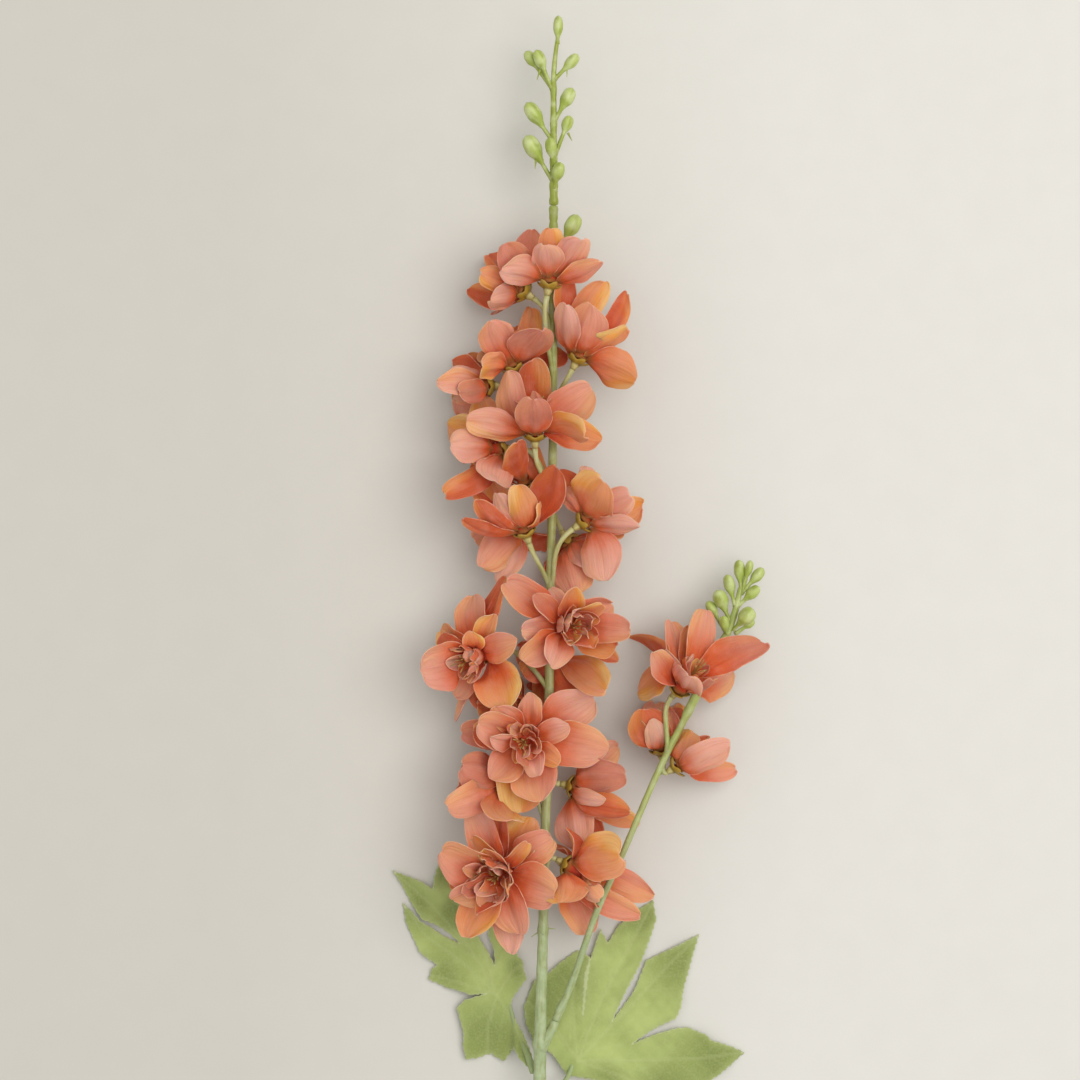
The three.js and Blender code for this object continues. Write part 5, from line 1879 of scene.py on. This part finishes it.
def stem_colour(points: Array) -> Array:
    """Colour points of the stems by how far down the spray they are.

    Args:
        points: rows of points in mm.

    Returns:
        A linear colour for each.
    """
    rows = SHEET_MIDDLE - points[:, 1] / SQUARE
    made = np.stack([np.interp(rows, STEM_ROWS, STEM_COLOURS[:, k]) for k in range(3)], axis=1)
    return mixed(made, BRANCH_GREEN, smooth(BRANCH_START, BRANCH_END, points[:, 0]))


def add_bud(piece: Piece, start: Spot, to: Spot, length: float, width: float, sort: float) -> None:
    """Add a closed bud on its short stalk.

    Args:
        piece: what it becomes part of.
        start: foot of its stalk on the sheet.
        to: the bud's middle on the sheet.
        length: of the bud.
        width: of the bud.
        sort: a number of its own.
    """
    foot = place(*start)
    way = place(*to) - foot
    middle = float(np.linalg.norm(way))
    axis = unit(way)
    begin = middle - BUD.before * length
    heights, radii = [0.0, 0.3 * begin, begin - 0.04 * length], list(BUD.stalk)
    for share in np.linspace(BUD.first, 1, BUD.steps):
        heights.append(begin + share * BUD.reach * length)
        foot_part = BUD.foot + (1 - BUD.foot) * float(smooth(0.0, BUD.belly, share))
        end_part = (1 - (max(0.0, share - BUD.end_from) / BUD.end_over) ** BUD.end_power) ** 0.5
        radii.append(max(BUD.half * width * min(foot_part, end_part), 0.85 * (1 - share)))
    radii[-1] = BUD.end_radius
    profile = np.stack([np.array(radii), np.array(heights)], axis=1)
    shares = np.clip((profile[:, 1] - middle + 0.5 * length) / length, -1, 1)
    dye = mixed(stem_colour(np.tile(foot, (len(profile), 1))), BUD_GREEN, smooth(-0.4, 0.1, shares))
    dye = mixed(dye, BUD_PALE, (BUD.pale + BUD.paler * pick(sort, 2)) * smooth(0.2, 0.7, shares))
    add_turned(piece, foot, axis, profile, dye, lobes=BUD.lobes, lobe_depth=BUD.lobe_depth)


STEM_SIDES = 20
SPUR_SIDES = 8
SOCKET_STEPS = 9
STEM_STEP = 1.6  # between the rings of a stem
SPUR_RADII = (0.7, 0.5, 0.35, 0.25, 0.12)
PEDICEL_STEP = 1.5  # between the rings of a floret's stalk
PEDICEL_SIDES = 12


@dataclass
class Stem:
    """A stem of moulded plastic with the stalks that leave it.

    Attributes:
        name: of the piece.
        node: the solid that it stands for.
        path: its middle line.
        radii: its radius by share of the path.
        florets: those whose stalks it carries.
        joints: swollen joints, as row of the sheet, swelling in mm and reach in rows.
        spurs: mould spurs, as foot and tip places.
        buds: buds on it.
        sockets: short sleeves for a side branch, as foot and mouth places with the radius at each.
    """

    name: str
    node: str
    path: Path
    radii: list[tuple[float, float]]
    florets: list[Floret] = field(default_factory=list)
    joints: list[tuple[float, float, float]] = field(default_factory=list)
    spurs: list[tuple[Spot, Spot]] = field(default_factory=list)
    buds: list[Bud] = field(default_factory=list)
    sockets: list[tuple[Spot, Spot, float, float]] = field(default_factory=list)

    def build(self, slot: str, plastic: bpy.types.Material) -> bpy.types.Object:
        """Make the stem in one piece.

        Args:
            slot: the record's finish; not used.
            plastic: its material.

        Returns:
            The new object.
        """
        piece = Piece(self.name)
        length = float(np.linalg.norm(np.diff(self.path.along(60), axis=0), axis=1).sum())
        count = max(12, int(length / STEM_STEP))
        points = self.path.along(count)
        shares = np.linspace(0, 1, count)
        radii = np.interp(shares, *zip(*self.radii))
        steps = np.arange(count)
        radii = radii * (1 + 0.025 * np.sin(steps * 0.9) + 0.02 * np.sin(steps * 0.23 + 1))
        rows = SHEET_MIDDLE - points[:, 1] / SQUARE
        for row, swell, reach in self.joints:
            radii = radii + swell * np.exp(-((rows - row) / reach) ** 2)
        add_tube(piece, points, radii, stem_colour(points), STEM_SIDES)
        for floret in self.florets:
            self.add_pedicel(piece, floret)
        for start, end in self.spurs:
            line = np.linspace(place(*start), place(*end), len(SPUR_RADII))
            add_tube(piece, line, np.array(SPUR_RADII), stem_colour(line), SPUR_SIDES)
        for start, end, wide, narrow in self.sockets:
            line = np.linspace(place(*start), place(*end), SOCKET_STEPS)
            add_tube(piece, line, np.linspace(wide, narrow, SOCKET_STEPS), stem_colour(line), STEM_SIDES)
        for k, bud in enumerate(self.buds):
            add_bud(piece, *bud, k + 3 * length)
        return piece.finish([self.node], plastic)

    def add_pedicel(self, piece: Piece, floret: Floret) -> None:
        """Add the stalk of a floret, which leaves the stem up along it and ends under the calyx.

        Args:
            piece: the stem.
            floret: what the stalk carries.
        """
        foot = self.path.at_row(floret.foot)
        end = floret.point - floret.axis * (CALYX_HEIGHT + 2 * CLEARANCE)
        span = float(np.linalg.norm(end - foot))
        turned = foot + ((end - foot) * 0.65 + np.array([0, span, 0]) * 0.35) * 0.45
        under = end - floret.axis * 0.4 * span
        t = np.linspace(0, 1, max(10, int(span / PEDICEL_STEP)))[:, None]
        line = (1 - t) ** 3 * foot + 3 * t * (1 - t) ** 2 * turned + 3 * t ** 2 * (1 - t) * under
        line = line + t ** 3 * end
        t = t.ravel()
        radii = PEDICEL_RADIUS * (0.88 + 0.35 * (1 - smooth(0, 0.14, t)) + 0.2 * smooth(0.86, 1, t)
                                  + 0.04 * np.sin(t * 31 + floret.number))
        dye = mixed(stem_colour(line), PEDICEL_PALE, 0.85 * smooth(0.1, 0.9, t))
        add_tube(piece, line, radii, dye, PEDICEL_SIDES)


# ------------------------------------------------------------------ leaves

LEAF_GREEN: Colour = (0.455, 0.55, 0.18)
# darker green of some lobes, also used as painted shade between and beside the stems
LEAF_DARK_AND_SHADE: Colour = (0.2, 0.25, 0.065)
LEAF_RIM: Colour = (0.44, 0.50, 0.20)


@dataclass(frozen=True)
class LeafForm:
    """How both leaves are cut, pressed and bent, in mm.

    Attributes:
        half: half of the cloth's thickness.
        tooth, dent: how far the cut edge's small teeth stand out, and its dents in.
        tooth_step: between two of them.
        first_vein, vein_gap, last_vein: along a rib, to the first side vein, between two, and after the last.
        vein_way: how much of a side vein's way goes along the rib, and how much away from it.
        vein_length, vein_share, vein_more: its greatest length, and its length by what is left of the rib.
        side_strength: how strong a side vein is.
        rib_reach, vein_reach: half the width of a rib and of a side vein.
        heart_reach, heart_power: how far from the heart the leaf comes down, and how steeply.
        fold, fold_reach: how high the lobes' sides rise over their ribs, and over what distance.
        wave, wave_reach: height of the waves along the edge, and how far they go in.
        quilt: height of the small cushions all over.
        pressed: depth of the veins.
        dark_share, rim_share: how much of the darker parts, partly painted shade, and of the paler rim shows.
        stalk_radii: of the stalk, from its end at the heart to the stem.
        stalk_steps, stalk_sides: rings of the stalk, and points round it.
        stalk_edge: what stands for the distance from a cut edge on the stalk.
    """

    half: float = 0.2
    tooth: float = 0.32
    dent: float = 0.12
    tooth_step: float = 1.0
    first_vein: float = 7.0
    vein_gap: float = 4.6
    last_vein: float = 4.0
    vein_way: Span = (0.78, 0.62)
    vein_length: float = 15.0
    vein_share: float = 0.42
    vein_more: float = 5.0
    side_strength: float = 0.5
    rib_reach: float = 0.75
    vein_reach: float = 0.55
    heart_reach: float = 30.0
    heart_power: float = 1.6
    fold: float = 1.3
    fold_reach: float = 6.0
    wave: float = 0.75
    wave_reach: float = 5.0
    quilt: float = 0.16
    pressed: float = 0.18
    dark_share: float = 0.9
    rim_share: float = 0.5
    stalk_radii: tuple[float, ...] = (0.8, 1.1, 1.3, 1.6)
    stalk_steps: int = 26
    stalk_sides: int = 12
    stalk_edge: float = 5.0


LEAF = LeafForm()


@dataclass
class Leaf:
    """A cut cloth leaf with pressed veins, its outer lobes lying on the surface.

    Attributes:
        node: the solid that it stands for.
        heart: where its veins meet, on the sheet.
        heart_height: how high the heart stands.
        outline: its cut edge on the sheet.
        ribs: the middle line of each lobe, from the heart to its tip.
        stalk: places of its stalk.
        dark: centre and reach of each darker part, on the sheet: darker lobes, and painted shade between and
            beside the stems.
        flap: start and end of the flap along the stalk, with the height that each rises.
        spacing: between the points of the cloth in mm.
    """

    node: str
    heart: tuple[float, float]
    heart_height: float
    outline: list[tuple[float, float]]
    ribs: list[list[tuple[float, float]]]
    stalk: list[list[float]]
    dark: list[tuple[float, float, float]]
    flap: tuple[Spot, Spot] | None = None
    spacing: float = 1.05

    def flat(self, column: float, row: float) -> Array:
        """Give a place of the leaf in the plane of the surface."""
        return place(column, row, -AXIS_HEIGHT)[:2]

    def edge_points(self) -> Array:
        """Give the cut edge with its small teeth.

        Returns:
            Rows of x and y in mm, round the leaf.
        """
        corners = np.array([self.flat(*spot) for spot in self.outline])
        made = []
        for k, corner in enumerate(corners):
            after = corners[(k + 1) % len(corners)]
            way = after - corner
            length = float(np.linalg.norm(way))
            out = np.array([way[1], -way[0]]) / max(length, 1e-6)
            steps = max(1, int(length / LEAF.tooth_step))
            for step in range(steps):
                share = step / steps
                tooth = LEAF.tooth * ((step % 3) == 1) - LEAF.dent * ((step % 3) == 2)
                made.append(corner + way * share + out * tooth * (step > 0) * self.side())
        return np.array(made)

    def side(self) -> float:
        """Tell on which side of the outline's way the outside is, as 1 or -1."""
        x, y = np.array([self.flat(*spot) for spot in self.outline]).T
        return 1.0 if np.sum(x * np.roll(y, -1) - y * np.roll(x, -1)) > 0 else -1.0

    def vein_lines(self) -> list[tuple[Array, Array, float]]:
        """List the veins as short straight stretches.

        Returns:
            Both ends of each stretch in mm, and the vein's strength.
        """
        lines = []
        for rib in self.ribs:
            points = np.array([self.flat(*spot) for spot in rib])
            gaps = np.linalg.norm(np.diff(points, axis=0), axis=1)
            total = float(gaps.sum())
            lines += [(a, b, 1.0) for a, b in zip(points, points[1:])]
            marks = np.concatenate([[0.0], gaps.cumsum()])
            for k, mark in enumerate(np.arange(LEAF.first_vein, total - LEAF.last_vein, LEAF.vein_gap)):
                at = np.array([np.interp(mark, marks, points[:, axis]) for axis in (0, 1)])
                ahead = np.array([np.interp(mark + 1, marks, points[:, axis]) for axis in (0, 1)])
                along = unit(ahead - at)
                side = 1 if k % 2 else -1
                ahead_part, side_part = LEAF.vein_way
                turned = along * ahead_part + side * np.array([-along[1], along[0]]) * side_part
                reach = min(LEAF.vein_length, LEAF.vein_share * (total - mark) + LEAF.vein_more)
                lines.append((at, at + turned * reach, LEAF.side_strength))
        return lines

    def veins(self, points: Array) -> tuple[Array, Array]:
        """Measure how near points are to the veins.

        Args:
            points: rows of x and y in mm.

        Returns:
            Strength of the vein print at each, and distance to the nearest rib.
        """
        strength = np.zeros(len(points))
        ribs = np.full(len(points), 1e3)
        for start, end, weight in self.vein_lines():
            way = end - start
            t = np.clip((points - start) @ way / max(float(way @ way), 1e-9), 0, 1)
            gap = np.linalg.norm(points - start - t[:, None] * way, axis=1)
            reach = LEAF.rib_reach if weight == 1.0 else LEAF.vein_reach
            strength = np.maximum(strength, weight * np.exp(-(gap / reach) ** 2))
            if weight == 1.0:
                ribs = np.minimum(ribs, gap)
        return strength, ribs

    def height(self, points: Array, vein: Array, ribs: Array, edge: Array) -> Array:
        """Give the leaf's height: its heart stands up, its lobes are folded and wavy.

        Args:
            points: rows of x and y in mm.
            vein: strength of the vein print at each.
            ribs: distance of each from the nearest rib.
            edge: distance of each from the cut edge.

        Returns:
            Heights over the floor in mm.
        """
        heart = self.flat(*self.heart)
        x, y = points.T
        way = np.linalg.norm(points - heart, axis=1)
        rise = self.heart_height * np.maximum(0, 1 - way / LEAF.heart_reach) ** LEAF.heart_power
        fold = LEAF.fold * (1 - np.exp(-ribs / LEAF.fold_reach)) * smooth(4, 26, way)
        wave = LEAF.wave * (1 + np.sin(x * 0.33 + 1.1 * np.sin(y * 0.21))) * np.exp(-edge / LEAF.wave_reach)
        quilt = LEAF.quilt * (1 + np.sin(x * 0.9) * np.sin(y * 0.8))
        whole = BED + rise + fold + wave * smooth(8, 30, way) + quilt - LEAF.pressed * vein
        return whole + self.flap_rise(points)

    def flap_rise(self, points: Array) -> Array:
        """Give how far the flap rises with the stalk.

        Args:
            points: rows of x and y in mm.

        Returns:
            The rise of each in mm.
        """
        if self.flap is None:
            return np.zeros(len(points))
        start, end = (self.flat(*spot[:2]) for spot in self.flap)
        share = np.clip((start[1] - points[:, 1]) / (start[1] - end[1]), 0, 1)
        return self.flap[1][2] * share * np.clip((points[:, 0] - start[0]) / FLAP_FOLD, 0, 1)

    def lay_cloth(self) -> tuple[Array, list[list[int]], Array]:
        """Fill the cut edge with an even net of points and faces.

        Returns:
            Rows of x and y in mm, the faces, and the distance of each point from the cut edge.
        """
        edge = self.edge_points()
        low, high = edge.min(axis=0), edge.max(axis=0)
        columns = np.arange(low[0], high[0], self.spacing)
        rows = np.arange(low[1], high[1], self.spacing)
        inner = np.array([(x + 0.3 * self.spacing * (j % 2), y) for j, y in enumerate(rows) for x in columns])
        ends = np.roll(edge, -1, axis=0)
        inside, gap = self.measure(inner, edge, ends)
        inner = inner[inside & (gap > 0.45 * self.spacing)]
        points = np.concatenate([edge, inner])
        edges = [(k, (k + 1) % len(edge)) for k in range(len(edge))]
        made = delaunay_2d_cdt([Vector(p) for p in points], edges, [], 1, 1e-5)
        flat = np.array([tuple(p) for p in made[0]])
        return flat, [list(face) for face in made[2]], self.measure(flat, edge, ends)[1]

    def colours(self, flat: Array, gap: Array) -> Array:
        """Dye the cloth's points.

        Args:
            flat: rows of x and y in mm.
            gap: distance of each from the cut edge.

        Returns:
            Rows of linear colours.
        """
        dye = np.tile(np.array(LEAF_GREEN), (len(flat), 1))
        # darker parts: some are the lobes' own tone, some painted shade near the stems
        for column, row, reach in self.dark:
            gap_to = np.linalg.norm(flat - self.flat(column, row), axis=1)
            dye = mixed(dye, LEAF_DARK_AND_SHADE, LEAF.dark_share * (1 - smooth(0.2 * reach, reach, gap_to)))
        return mixed(dye, LEAF_RIM, LEAF.rim_share * smooth(3.0, 0.5, gap))

    def build(self, cloth: bpy.types.Material) -> bpy.types.Object:
        """Make the leaf with its stalk in one piece.

        Args:
            cloth: its material.

        Returns:
            The leaf.
        """
        flat, faces, gap = self.lay_cloth()
        vein, ribs = self.veins(flat)
        sheet = np.column_stack([flat, self.height(flat, vein, ribs, gap)])
        count = len(flat)
        thick = [0, 0, LEAF.half]
        upward = [self.turned(face, flat) for face in faces]
        piece = Piece(f"{self.node}_cloth")
        piece.add(
            np.concatenate([sheet + thick, sheet - np.array(thick)]),
            upward + [[k + count for k in face[::-1]] for face in upward] + self.rim(faces, count),
            dye=np.tile(self.colours(flat, gap), (2, 1)), vein=np.tile(vein, 2), edge=np.tile(gap, 2),
            across=np.tile(flat[:, 0], 2), along=np.tile(flat[:, 1], 2),
        )
        self.add_stalk(piece)
        return piece.finish([self.node], cloth)

    def add_stalk(self, piece: Piece) -> None:
        """Add the leaf's stalk, from the stem to the heart of the leaf.

        Args:
            piece: the leaf.
        """
        route = np.array([place(*spot) for spot in self.stalk])
        away = float(np.linalg.norm(route[0][:2] - self.flat(*self.heart)))
        rise = self.heart_height * max(0.0, 1 - away / LEAF.heart_reach) ** LEAF.heart_power
        route[0][2] = BED + rise - PETAL_THICKNESS
        points = Path(route).along(LEAF.stalk_steps)
        radii = np.interp(np.linspace(0, 1, LEAF.stalk_steps), [0, 0.33, 0.66, 1], LEAF.stalk_radii)
        part = Piece("stalk")
        add_tube(part, points, radii, stem_colour(points), LEAF.stalk_sides)
        made = part.points[0]
        piece.add(
            made, part.faces, dye=part.values["dye"][0], across=part.values["round"][0],
            along=part.values["along"][0], vein=np.zeros(len(made)), edge=np.full(len(made), LEAF.stalk_edge),
        )

    @staticmethod
    def turned(face: list[int], flat: Array) -> list[int]:
        """Turn a face so that it looks up.

        Args:
            face: its corners' numbers.
            flat: rows of x and y of all points.

        Returns:
            The corners' numbers, in the order that looks up.
        """
        a, b, c = (flat[k] for k in face[:3])
        area = (b[0] - a[0]) * (c[1] - a[1]) - (b[1] - a[1]) * (c[0] - a[0])
        return face if area > 0 else face[::-1]

    @staticmethod
    def rim(faces: list[list[int]], count: int) -> list[list[int]]:
        """List the faces of the cut edge, between the upper points and the lower ones.

        Args:
            faces: of the upper side.
            count: of the upper points.

        Returns:
            The quads.
        """
        sides: dict[tuple[int, int], int] = {}
        for face in faces:
            for a, b in zip(face, face[1:] + face[:1]):
                key = (min(a, b), max(a, b))
                sides[key] = sides.get(key, 0) + 1
        return [[a, b, b + count, a + count] for (a, b), uses in sides.items() if uses == 1]

    @staticmethod
    def measure(points: Array, starts: Array, ends: Array) -> tuple[Array, Array]:
        """Tell which points are inside an outline, and how far each is from it.

        Args:
            points: rows of x and y.
            starts: the first ends of the outline's sides.
            ends: their other ends.

        Returns:
            Whether each is inside, and its distance from the outline.
        """
        inside = np.zeros(len(points), bool)
        gap = np.full(len(points), 1e9)
        for a, b in zip(starts, ends):
            crosses = (a[1] > points[:, 1]) != (b[1] > points[:, 1])
            slope = (b[0] - a[0]) / ((b[1] - a[1]) if abs(b[1] - a[1]) > 1e-12 else 1e-12)
            inside ^= crosses & (points[:, 0] < slope * (points[:, 1] - a[1]) + a[0])
            way = b - a
            t = np.clip((points - a) @ way / max(float(way @ way), 1e-9), 0, 1)
            gap = np.minimum(gap, np.linalg.norm(points - a - t[:, None] * way, axis=1))
        return inside, gap


LEAVES = [
    Leaf(
        "leaf_left", (497, 992), 9.0,
        [
            (511, 1010), (523, 1031), (531, 1049), (536, 1064), (528, 1062), (520, 1055), (514, 1045),
            (511, 1051), (504, 1060), (497, 1057), (491, 1053), (478, 1057), (466, 1058), (463, 1045),
            (464, 1033), (460, 1018), (457, 1007), (464, 999), (474, 995.5), (487, 991), (471, 993.5),
            (459, 989.5), (447, 987), (429, 979), (431, 970), (437, 964), (420, 952), (410, 931), (406, 922),
            (403, 903), (412, 911), (421, 921), (431, 926.5), (445, 936), (460, 943), (448, 932), (438, 925),
            (422, 918.5), (411, 902), (400, 881), (392.5, 870), (408, 876), (421, 881), (433, 888),
            (434, 878), (440, 859), (451, 872), (457, 897), (466, 914), (478, 935), (488, 951), (495, 964),
            (494, 949), (489, 937), (488, 925), (500, 929), (507, 947), (515, 951), (523, 961), (524, 970),
            (527, 977), (519, 987.5), (512, 997),
        ],
        [
            [(497, 992), (470, 948), (430, 903), (394, 872)],
            [(497, 992), (463, 962), (425, 935), (405, 906)],
            [(497, 992), (479, 935), (456, 892), (442, 863)], [(497, 992), (512, 970), (522, 964)],
            [(497, 992), (488, 1025), (487, 1054)], [(497, 992), (460, 982), (431, 975)],
            [(497, 992), (510, 1015), (535, 1062)],
        ],
        [[508, 1008, 0], [518, 1034, -22], [526, 1052, -17], [533, 1072, -10.5]],
        [
            (443, 868, 12), (440, 978, 17), (484, 1042, 27), (519, 966, 9), (410, 905, 15), (455, 915, 12),
            (398, 876, 12), (528, 1052, 14),
        ],
        ((511, 1010, 0), (536, 1064, 12)),
    ),
    Leaf(
        "leaf_right", (577, 1058), 8.0,
        [
            (567, 1073), (552, 1052), (540, 1046), (533, 1038), (526, 1024), (524, 1006), (534, 980),
            (546, 974), (560, 962), (577, 950), (590, 956), (586, 985), (583, 1014), (585, 974), (600, 928),
            (608, 942), (618, 925), (638, 909), (653, 900), (656, 919), (652, 932), (640, 964), (626, 990),
            (612, 1021), (634, 990), (646, 960), (660, 953), (679, 944), (699, 934), (693, 953), (688, 972),
            (683, 989), (681, 1005), (676, 1017), (654, 1028), (632, 1043), (656, 1033), (676, 1027),
            (688, 1027), (706, 1034), (710, 1039), (731, 1046), (744, 1052), (732, 1063), (718, 1074),
            (704, 1084), (684, 1092), (662, 1096), (640, 1094), (616, 1088), (594, 1078),
        ],
        [
            [(577, 1058), (601, 1000), (634, 937), (652, 903)],
            [(577, 1058), (625, 1012), (667, 966), (697, 937)],
            [(577, 1058), (640, 1060), (700, 1058), (742, 1052)], [(577, 1058), (572, 1005), (577, 953)],
            [(577, 1058), (552, 1022), (528, 1002)], [(577, 1058), (622, 1076), (664, 1093)],
        ],
        [[577, 1058, 0], [568, 1076, -19], [556, 1092, -15], [546, 1101, -12]],
        [
            (553, 980, 25), (532, 1015, 18), (688, 958, 27), (722, 1055, 30), (668, 1088, 20),
            (605, 1082, 14), (640, 915, 14),
        ],
    ),
]

# ------------------------------------------------------------------ the studio


@dataclass(frozen=True)
class Paper:
    """Pale floor paper with a faint grain and painted shade: darker to the left, lighter to the right, as if
    lit from the right.

    Attributes:
        left: its colour at the left, darkened as painted shade.
        right: its colour at the right, lightened as painted light.
        reach: the two places between which the painted shade changes, in metres to the right.
        grain: of its darker grain.
        grain_scale: how fine that is.
        roughness: of the paper.
    """

    left: Colour = (0.607, 0.587, 0.531)
    right: Colour = (0.715, 0.705, 0.66)
    reach: Span = (-0.16, 0.1)
    grain: Layer = Layer((0.4, 0.39, 0.36), (0.3, 0.7), 0.04)
    grain_scale: float = 60.0
    roughness: float = 0.9

    def material(self) -> bpy.types.Material:
        """Make the paper's material.

        Returns:
            The material.
        """
        g = Graph("floor_paper_painted_shade")
        # painted shade: the floor goes from darker at the left to lighter at the right, as a light from the
        # right would fall
        paper = g.mix(g.ranged(g.sideways(), self.reach, (0.0, 1.0)), self.left, self.right)
        g.set("Base Color", self.grain.over(g, g.noise(g.position(), self.grain_scale, 2.0), paper))
        g.set("Roughness", self.roughness)
        return g.material


@dataclass(frozen=True)
class Lamp:
    """A soft round light that looks at the spray.

    Attributes:
        name: of the light.
        at: where it hangs, in metres.
        size: its width in metres.
        power: in watts.
    """

    name: str
    at: Spot
    size: float
    power: float

    def hang(self, colour: Colour) -> None:
        """Hang the light.

        Args:
            colour: of its light.
        """
        data = bpy.data.lights.new(self.name, "AREA")
        data.shape = "DISK"
        data.size = self.size
        data.energy = self.power
        data.color = colour
        made = bpy.data.objects.new(self.name, data)
        made.location = self.at
        made.rotation_mode = "QUATERNION"
        made.rotation_quaternion = (-Vector(self.at)).to_track_quat("-Z", "Y")
        bpy.context.scene.collection.objects.link(made)


@dataclass(frozen=True)
class Studio:
    """Floor, lights and camera.

    Attributes:
        paper: what the floor is made of, with its painted shade.
        floor_size: its side in metres.
        warmth: colour of the lamps.
        lamps: the lamps.
        air: colour of the light from all round.
        air_power: its strength.
        clip: the nearest and farthest that the camera sees, in metres.
    """

    paper: Paper = Paper()
    floor_size: float = 6.0
    warmth: Colour = (1.0, 0.975, 0.95)
    lamps: tuple[Lamp, ...] = (
        Lamp("key", (0.85, 0.35, 2.2), 2.2, 35.5),
        Lamp("fill", (-1.4, 0.6, 2.0), 2.4, 2.0),
    )
    air: Colour = (1.0, 0.985, 0.965)
    air_power: float = 0.61
    clip: Span = (0.05, 20.0)

    def build_floor(self) -> None:
        """Lay the floor under the spray."""
        half = self.floor_size / 2
        corners = [(-half, -half, 0), (half, -half, 0), (half, half, 0), (-half, half, 0)]
        mesh = bpy.data.meshes.new("floor")
        mesh.from_pydata(corners, [], [(0, 1, 2, 3)])
        floor = bpy.data.objects.new("floor", mesh)
        bpy.context.scene.collection.objects.link(floor)
        mesh.materials.append(self.paper.material())

    def build_lights(self) -> None:
        """Light the spray softly from above, with a little more from one side."""
        world = bpy.data.worlds.new("studio_air")
        world.use_nodes = True
        air = world.node_tree.nodes["Background"].inputs
        air["Color"].default_value = (*self.air, 1.0)
        air["Strength"].default_value = self.air_power
        bpy.context.scene.world = world
        for lamp in self.lamps:
            lamp.hang(self.warmth)

    def build_camera(self) -> None:
        """Set the camera straight over the sheet's middle."""
        data = bpy.data.cameras.new("camera")
        data.sensor_width = SENSOR
        data.lens = SENSOR * SIGHT / (FRAME_WIDTH * SQUARE)
        data.clip_start, data.clip_end = self.clip
        camera = bpy.data.objects.new("camera", data)
        spot = (np.array([0.0, 0.0, AXIS_HEIGHT + SIGHT]) + OFFSET) * MM
        camera.location = spot.tolist()
        bpy.context.scene.collection.objects.link(camera)
        bpy.context.scene.camera = camera
        bpy.context.scene.view_settings.view_transform = "Standard"


@dataclass
class Spray:
    """The whole stem: florets, buds, leaves and stems, each dressed in its finish.

    Attributes:
        silk: of the petals.
        leaf_cloth: of the leaves.
        stem_plastic, bud_plastic, heart_plastic: of the stems, the bud tips and the florets' hearts.
    """

    silk: PetalCloth = PetalCloth()
    leaf_cloth: LeafCloth = LeafCloth()
    stem_plastic: Plastic = Plastic("stem_plastic", (0.58, 0.64, 0.40), (0.26, 0.27, 0.08))
    # on the buds the pale patches are painted highlights
    bud_plastic: Plastic = Plastic("bud_plastic", (0.68, 0.74, 0.40), (0.23, 0.28, 0.02), 0.38, 0.55)
    heart_plastic: Plastic = Plastic("heart_plastic", (0.52, 0.38, 0.10), (0.13, 0.075, 0.012), 0.5, 0.3)

    def build(self) -> None:
        """Build every piece in order, from the stems to the florets."""
        stems = self.stem_plastic.material()
        buds = self.bud_plastic.material()
        hearts = self.heart_plastic.material()
        silk = self.silk.material()
        cloth = self.leaf_cloth.material()
        for stem in (self.main_stem(), self.branch_stem()):
            stem.build("stem_green", stems)
        for tip in self.bud_tips():
            tip.build("bud_green", buds)
        for leaf in LEAVES:
            leaf.build(cloth)
        for one in FLORETS:
            one.build_heart(hearts)
            one.build_bloom(silk)

    @staticmethod
    def main_stem() -> Stem:
        """Describe the main stem with its swollen joints, mould spurs, side bud and branch socket.

        Returns:
            The stem.
        """
        return Stem(
            "main_stem_plastic", "main_stem", path_of(MAIN_PATH), MAIN_RADII,
            florets=[one for one in FLORETS if not one.branch],
            joints=[(210, 0.5, 3), (217, 0.35, 2), (226, 0.45, 2.5), (930, 0.35, 5), (1046, 0.8, 7),
                    (775, 0.3, 4)],
            spurs=[((542, 930, -1), (531, 937, -1)), ((544, 928, -1), (556, 929, 0)),
                   ((543, 934, 1), (539, 928, 3))],
            buds=[SIDE_BUD], sockets=[((541, 1050, -5), (555.2, 1021.5, -4.95), 2.6, 1.95)],
        )

    @staticmethod
    def branch_stem() -> Stem:
        """Describe the side branch.

        Returns:
            The stem.
        """
        return Stem(
            "branch_stem_plastic", "branch_stem", path_of(BRANCH_PATH), BRANCH_RADII,
            florets=[one for one in FLORETS if one.branch], joints=[(1010, 0.4, 5), (712, 0.3, 4)],
        )

    @staticmethod
    def bud_tips() -> list[Stem]:
        """Describe the two bud tips.

        Returns:
            The main stem's tip and the branch's.
        """
        return [
            Stem(
                "bud_tip_main_plastic", "bud_tip_main", path_of(MAIN_TIP_PATH), MAIN_TIP_RADII,
                joints=[(202, 0.4, 3), (186, 0.4, 4), (160, 0.3, 4), (124, 0.3, 4), (90, 0.3, 4)],
                spurs=[((540, 70, 2), (537, 80, 2)), ((567, 66, 0), (567, 77, 0)),
                       ((536, 160, 1), (535, 169, 1)), ((568, 133, -3), (572, 141, -3))],
                buds=MAIN_TIP_BUDS,
            ),
            Stem(
                "bud_tip_branch_plastic", "bud_tip_branch", path_of(BRANCH_TIP_PATH), BRANCH_TIP_RADII,
                joints=[(640, 0.3, 4)], buds=BRANCH_TIP_BUDS,
            ),
        ]


def main() -> None:
    """Build the studio and the spray."""
    logging.basicConfig(level=logging.INFO, format="%(name)s: %(message)s")
    studio = Studio()
    studio.build_camera()
    studio.build_floor()
    studio.build_lights()
    Spray().build()


if __name__ == "__main__":
    main()
